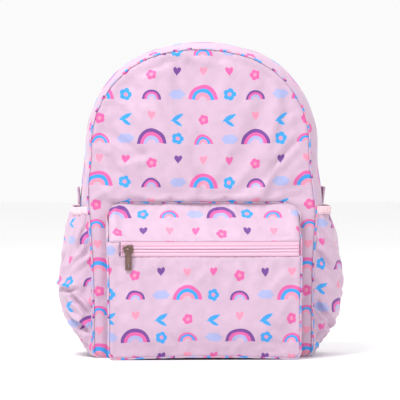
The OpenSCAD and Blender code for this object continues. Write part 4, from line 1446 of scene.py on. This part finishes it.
def strap_frames(t):
    along = unit(strap_at(np.minimum(1, t + 0.01)) - strap_at(np.maximum(0, t - 0.01)))
    across = unit(-np.cross([0, 1.0, 0], along))
    return strap_at(t), across, -np.cross(along, across)


def strap_surface(t, w, h):
    """Points at shares w of the half width and heights h off the strap's inner face."""
    p, across, out = strap_frames(t)
    return p[:, None] + across[:, None] * (w * strap_half(t)[:, None])[..., None] + out[:, None] * h[..., None]


def make_strap(side, word):
    body = f"strap_{word}"
    t = np.linspace(0, 1, 64)
    w = np.sin(np.linspace(-math.pi / 2, math.pi / 2, 25))
    grid_w = np.tile(w, (len(t), 1))
    swell = (1 - np.abs(grid_w) ** 3.2) ** 0.8
    ends = (smooth(t / 0.05) * smooth((1 - t) / 0.05))[:, None] * 0.5 + 0.5
    length = run_length(strap_at(t))
    sewn = 0.7 * np.exp(-((np.abs(grid_w) - 0.84) / 0.05) ** 2)
    for kind, sign, top, materials in (("cover", 1, 3.6, (PRINT,)), ("mesh", -1, 3.2, (MESH,))):
        lump = 0.3 * ripple(length[:, None], grid_w * 25, 18, 80 + side) * swell
        h = STRAP_T / 2 + sign * (0.5 + (top * swell + lump) * ends - sewn)
        h = np.clip(h, 0.1, STRAP_T)
        points = strap_surface(t, grid_w * 0.985, h)
        points[..., 0] *= side
        cloth = np.stack([-side * grid_w * 25 + 30, -length[:, None] + 0 * grid_w + 40], -1)
        centre = strap_at(np.array([0.5]))[0] + [0, (-40 if sign > 0 else 60), 0]
        centre[0] *= side
        piece = grid_piece(f"strap_{kind}_{word}_cloth", points, cloth, materials, centre)
        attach(thicken(piece, 0.7), body)
        if kind == "cover":
            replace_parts(piece, f"strap_cover_{word}", f"strap_foam_{word}")
        else:
            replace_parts(piece, f"strap_mesh_{word}")
    edges, rows = [], []
    for e in (-1, 1):
        p, across, out = strap_frames(t)
        path = p + across * (e * strap_half(t))[:, None] + out * (STRAP_T / 2)
        path[:, 0] *= side
        outs = out.copy()
        outs[:, 0] *= side
        edges.append(sweep("edge", path, outs, loop_section(3.0, 4.6, 2.6, 12), (BINDING,)))
        high_line = STRAP_T / 2 + 0.5 + 3.6 * (1 - 0.84 ** 3.2) ** 0.8 - 0.7
        row = p + across * (e * strap_half(t) * 0.84)[:, None] + out * high_line
        row[:, 0] *= side
        rows.append(stitches("row", row, outs, 3.0, 0.55, 0.35))
    tape = joined(f"strap_binding_{word}_tape", edges)
    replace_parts(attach(tape, body), f"strap_binding_{word}")
    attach(joined(f"strap_stitching_{word}", rows), body)
    make_strap_end(side, word)


def make_strap_end(side, word):
    """The tape that closes a strap's lower end and holds the adjuster's upper bar."""
    x, y = ADJUSTER[0], ADJUSTER[1]
    top = ADJUSTER[2] + 9.5
    turn = np.linspace(-math.pi * 0.5, math.pi * 0.5, 9)
    loop = [(STRAP_END_Z + 9, y - 2.9), (STRAP_END_Z + 1, y - 2.9)]
    loop += [(top + 1 - 3.4 * math.cos(a), y + 2.9 * math.sin(a)) for a in turn]
    loop += [(STRAP_END_Z + 1, y + 2.9), (STRAP_END_Z + 9, y + 2.9)]
    path = np.array([(side * x, b, a) for a, b in loop])
    middle = np.array([side * x, y, top + 6])
    out = path - middle
    out[:2], out[-2:] = [0, -1, 0], [0, 1, 0]
    out = unit(out)
    band = sweep(f"strap_end_loop_{word}", path, out, loop_section(19.5, 1.3, 4, 12), (WEBBING,))
    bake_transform(band)


def make_adjuster(side, word):
    body = f"adjuster_{word}"
    lo, hi = low("adjuster_right"), high("adjuster_right")
    holes = [round_rect(21, 7, 1.6, (0, z)) for z in (-6, 6)]
    width, thick, height = hi - lo
    plate = cut_plate(f"adjuster_{word}_frame", round_rect(width, height, 4.0), holes, thick, 1.1, BUCKLE)
    plate.data.transform(Matrix.Rotation(math.pi / 2, 4, "X"))
    plate.data.transform(Matrix.Translation(Vector((side * ADJUSTER[0], ADJUSTER[1], ADJUSTER[2])) * MM))
    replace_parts(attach(plate, body), f"adjuster_{word}")
    y = ADJUSTER[1]
    turn = np.linspace(-math.pi / 2, math.pi / 2, 9)
    loop = [(lo[2] - 0.5, y - 0.6), (lo[2] + 3, y - 2.6), (lo[2] + 6, y - 3.1)]
    loop += [(ADJUSTER[2] + 0.5 + 3.4 * math.cos(a), y + 3.1 * math.sin(a)) for a in turn]
    loop += [(lo[2] + 6, y + 3.1), (lo[2] + 1, y + 2.8)]
    path = np.array([(side * ADJUSTER[0], b, a) for a, b in loop])
    out = path - np.array([side * ADJUSTER[0], y, ADJUSTER[2] - 3])
    out[:, 0] = 0
    out = unit(out)
    wrap = sweep(f"webbing_wrap_{word}", path, out, loop_section(19.6, 1.3, 4, 12), (WEBBING,))
    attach(wrap, body)


def make_webbing(side, word):
    start = np.array([103.0, BACK_Y + 3.6, 52.0])
    end = np.array([ADJUSTER[0], ADJUSTER[1], high("webbing_right")[2] - 0.2])
    s = np.linspace(0, 1, 24)[:, None]
    path = start + (end - start) * s
    path[:, 1] += 0.9 * np.sin(s[:, 0] * math.pi)
    path[:, 0] *= side
    band = sweep(f"webbing_{word}_weave", path, (0, 1.0, 0), loop_section(20, 1.6, 5, 14), (WEBBING,))
    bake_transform(band)
    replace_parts(band, f"webbing_{word}")
    lo, hi = low("webbing_tail_right"), high("webbing_tail_right")
    z = np.linspace(hi[2], lo[2], 30)
    y = (lo[1] + hi[1]) / 2 + 0.9 * np.sin(np.linspace(0, 5, 30)) * np.linspace(0, 1, 30)
    path = np.stack([side * ADJUSTER[0] + 0 * z, y, z], 1)
    tail = sweep("tail", path, (0, 1.0, 0), loop_section(20, 1.6, 5, 14), (WEBBING,))
    hem = np.stack([side * ADJUSTER[0] + 0 * z[:5], y[-1] + 1.4 + 0 * z[:5], np.linspace(lo[2] + 9, lo[2], 5)], 1)
    fold = sweep("fold", hem, (0, 1.0, 0), loop_section(20, 1.5, 5, 14), (WEBBING,))
    both = joined(f"webbing_tail_{word}_weave", [tail, fold])
    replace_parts(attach(both, f"tail_{word}"), f"webbing_tail_{word}")


def make_handle():
    axis = pivot("handle_swing")
    lean, half, drop, bend = math.radians(38), 33.0, 42.0, 13.0
    turn = np.linspace(0, math.pi / 2, 9)[1:]
    leg = [(-half, -d) for d in spaced(0.5, drop - bend, 3)]
    corner = [(-half + bend - bend * math.cos(a), -drop + bend - bend * math.sin(a)) for a in turn]
    left = leg + corner
    line = np.array(left + [(x, -drop) for x in spaced(-half + bend + 3, half - bend - 3, 3)]
                    + [(-x, z) for x, z in reversed(left)])
    path = np.stack([line[:, 0], axis[1] - line[:, 1] * math.sin(lean), axis[2] + line[:, 1] * math.cos(lean)], 1)
    out = (0, math.cos(lean), math.sin(lean))
    loop = sweep("loop", path, out, loop_section(17.6, 2.6, 4, 16), (WEBBING,))
    middle = np.abs(line[:, 0]) < 19
    pad = sweep("pad", path[middle], out, loop_section(18.2, 5.0, 2.6, 16), (PRINT,))
    both = joined("handle_loop_weave", [loop, pad])
    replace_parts(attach(both, "handle"), "handle_loop")


# ---------- Inside ----------

def make_inside():
    lo, hi = low("back_lining"), high("back_lining")
    border = back_loop(EDGE + 5)
    border[:, 1] = np.maximum(border[:, 1], lo[2])
    flat, faces = flat_panel(dense(border[::2], 5), 7)
    x, z = flat[:, 0], flat[:, 1]
    y = lo[1] + 0.4 + 0.4 * ripple(x, z, 40, 90)
    cloth = np.stack([x, z], 1)
    sheet = face_away(mesh_piece("back_lining_cloth", np.stack([x, y, z], 1), faces, cloth, (LINING,)), (0, 90, 180))
    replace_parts(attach(thicken(sheet, 0.7), "shell"), "back_lining")
    lo, hi = low("inner_sleeve"), high("inner_sleeve")
    xs, zs = spaced(lo[0], hi[0], 5), spaced(lo[2], hi[2], 5)
    gx, gz = np.meshgrid(xs, zs, indexing="ij")
    edge = smooth((gx - lo[0]) / 12) * smooth((hi[0] - gx) / 12) * smooth((gz - lo[2]) / 12)
    gy = hi[1] - 1 - (hi[1] - lo[1] - 1.5) * edge + 0.6 * ripple(gx, gz, 30, 91) * edge
    sleeve = grid_piece("inner_sleeve_cloth", np.stack([gx, gy, gz], -1), np.stack([gx, gz], -1),
                        (LINING,), (0, 90, 100))
    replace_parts(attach(thicken(sleeve, 0.8), "shell"), "inner_sleeve")
    path = np.stack([xs, np.interp(xs, gx[:, -1], gy[:, -1]) - 0.3, hi[2] - 5 + 0 * xs], 1)
    elastic = sweep("sleeve_elastic_band", path, (0, -1.0, 0), loop_section(12, 1.6, 4, 12), (ELASTIC,))
    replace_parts(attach(elastic, "shell"), "sleeve_elastic")
    lo, hi = low("base_board"), high("base_board")
    plate = cut_plate("base_board_sheet", round_rect(hi[0] - lo[0], hi[1] - lo[1], 8), [], hi[2] - lo[2], 0.3, BOARD)
    shifted(plate, (0, 0, (lo[2] + hi[2]) / 2 + 1.5))
    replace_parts(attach(plate, "shell"), "base_board")
    bind("seam_binding_back", back_loop(EDGE + 3.2), HALF_D - 4.2, True, "shell", 0, PACK_H)
    angles, _ = even_angles(4.0)
    r = outline_r(angles[:-1], EDGE + 3.2)
    loop = np.stack([r * np.sin(angles[:-1]), ARC_Z + r * np.cos(angles[:-1])], 1)
    bind("seam_binding_front", loop, -HALF_D + 4.4, False, "shell", 0, high("seam_binding_front")[2])
    bind("seam_binding_flap", loop, -HALF_D + 4.4, False, "flap", low("seam_binding_flap")[2], PACK_H)


def bind(node, loop, y, closed, body, z0, z1):
    """Tape sewn over a seam allowance inside, along part of an outline between two heights."""
    loop = loop.copy()
    loop[:, 1] = np.maximum(loop[:, 1], 2.6)
    if not closed:
        keep = (loop[:, 1] >= z0) & (loop[:, 1] <= z1)
        first = int(np.nonzero(keep & ~np.roll(keep, 1))[0][0])
        loop, keep = np.roll(loop, -first, 0), np.roll(keep, -first)
        loop = loop[keep]
    path = np.stack([loop[:, 0], y + 0.3 * ripple(loop[:, 0], loop[:, 1], 20, 95), loop[:, 1]], 1)
    out = unit(np.stack([loop[:, 0], 0 * loop[:, 0], loop[:, 1] - ARC_Z], 1))
    tape = sweep(node + "_tape", path, out, loop_section(7.6, 1.6, 3, 10), (BINDING,), closed=closed)
    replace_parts(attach(tape, body), node)


make_front()
make_front_seam()
make_front_gusset()
make_side_cloth()
make_rear_gusset()
make_main_zipper()
make_pocket_front()
make_pocket_gusset()
make_pocket_seams()
make_lid()
make_pocket_zipper()
make_sliders()
for way, title in ((-1, "left"), (1, "right")):
    make_side_pocket(way, title)
    make_side_binding(way, title)
    make_end_tab(way, title)
    make_zip_end(way, title)
    make_anchor(way, title)
    make_strap(way, title)
    make_adjuster(way, title)
    make_webbing(way, title)
make_back_pad()
make_yoke()
make_handle()
make_inside()

# ---------- Floor, light and camera ----------

def make_stage():
    shade = Shade("floor", Roughness=0.6)
    at = shade.place()
    shade.link(shade.mix(shade.noise(at, 3.0, 3.0)[0], tone(250, 250, 250), tone(246, 246, 247)), "Base Color")
    floor = mesh_piece("floor", [(-4000, -3000, 0), (4000, -3000, 0), (4000, 5000, 0), (-4000, 5000, 0)],
                       [(0, 1, 2, 3)], [(0, 0), (1, 0), (1, 1), (0, 1)], (shade.material,))
    world = bpy.data.worlds.new("studio")
    bpy.context.scene.world = world
    world.use_nodes = True
    world.node_tree.nodes["Background"].inputs[0].default_value = (1.0, 1.0, 1.0, 1.0)
    world.node_tree.nodes["Background"].inputs[1].default_value = 0.96


def lamp(name, size, power, at, aim):
    light = bpy.data.lights.new(name, "AREA")
    light.shape = "RECTANGLE"
    light.size, light.size_y = size
    light.energy = power
    holder = bpy.data.objects.new(name, light)
    holder.location = at
    holder.rotation_euler = (Vector(aim) - Vector(at)).to_track_quat("-Z", "Y").to_euler()
    bpy.context.scene.collection.objects.link(holder)


def make_camera():
    camera = bpy.data.cameras.new("camera")
    holder = bpy.data.objects.new("camera", camera)
    bpy.context.scene.collection.objects.link(holder)
    distance, rise, around, view_w = 4.6, math.radians(2.0), math.radians(-3.0), 0.4685
    aim = Vector((-0.0009, 0, 0.1812))
    holder.location = aim + distance * Vector((math.sin(around), -math.cos(around) * math.cos(rise), math.sin(rise)))
    holder.rotation_euler = (aim - holder.location).to_track_quat("-Z", "Y").to_euler()
    camera.sensor_width = 36
    camera.lens = 36 * distance / view_w
    camera.clip_start, camera.clip_end = 0.1, 40
    bpy.context.scene.camera = holder
    bpy.context.scene.view_settings.view_transform = "Standard"


make_stage()
lamp("key", (0.8, 0.5), 34, (-0.7, -0.9, 2.0), (0, 0, 0.2))
lamp("fill", (1.5, 1.5), 1.0, (1.8, -1.4, 0.9), (0, 0, 0.18))
lamp("top", (1.4, 1.0), 5, (0.1, 0.5, 2.0), (0, 0, 0.2))
make_camera()
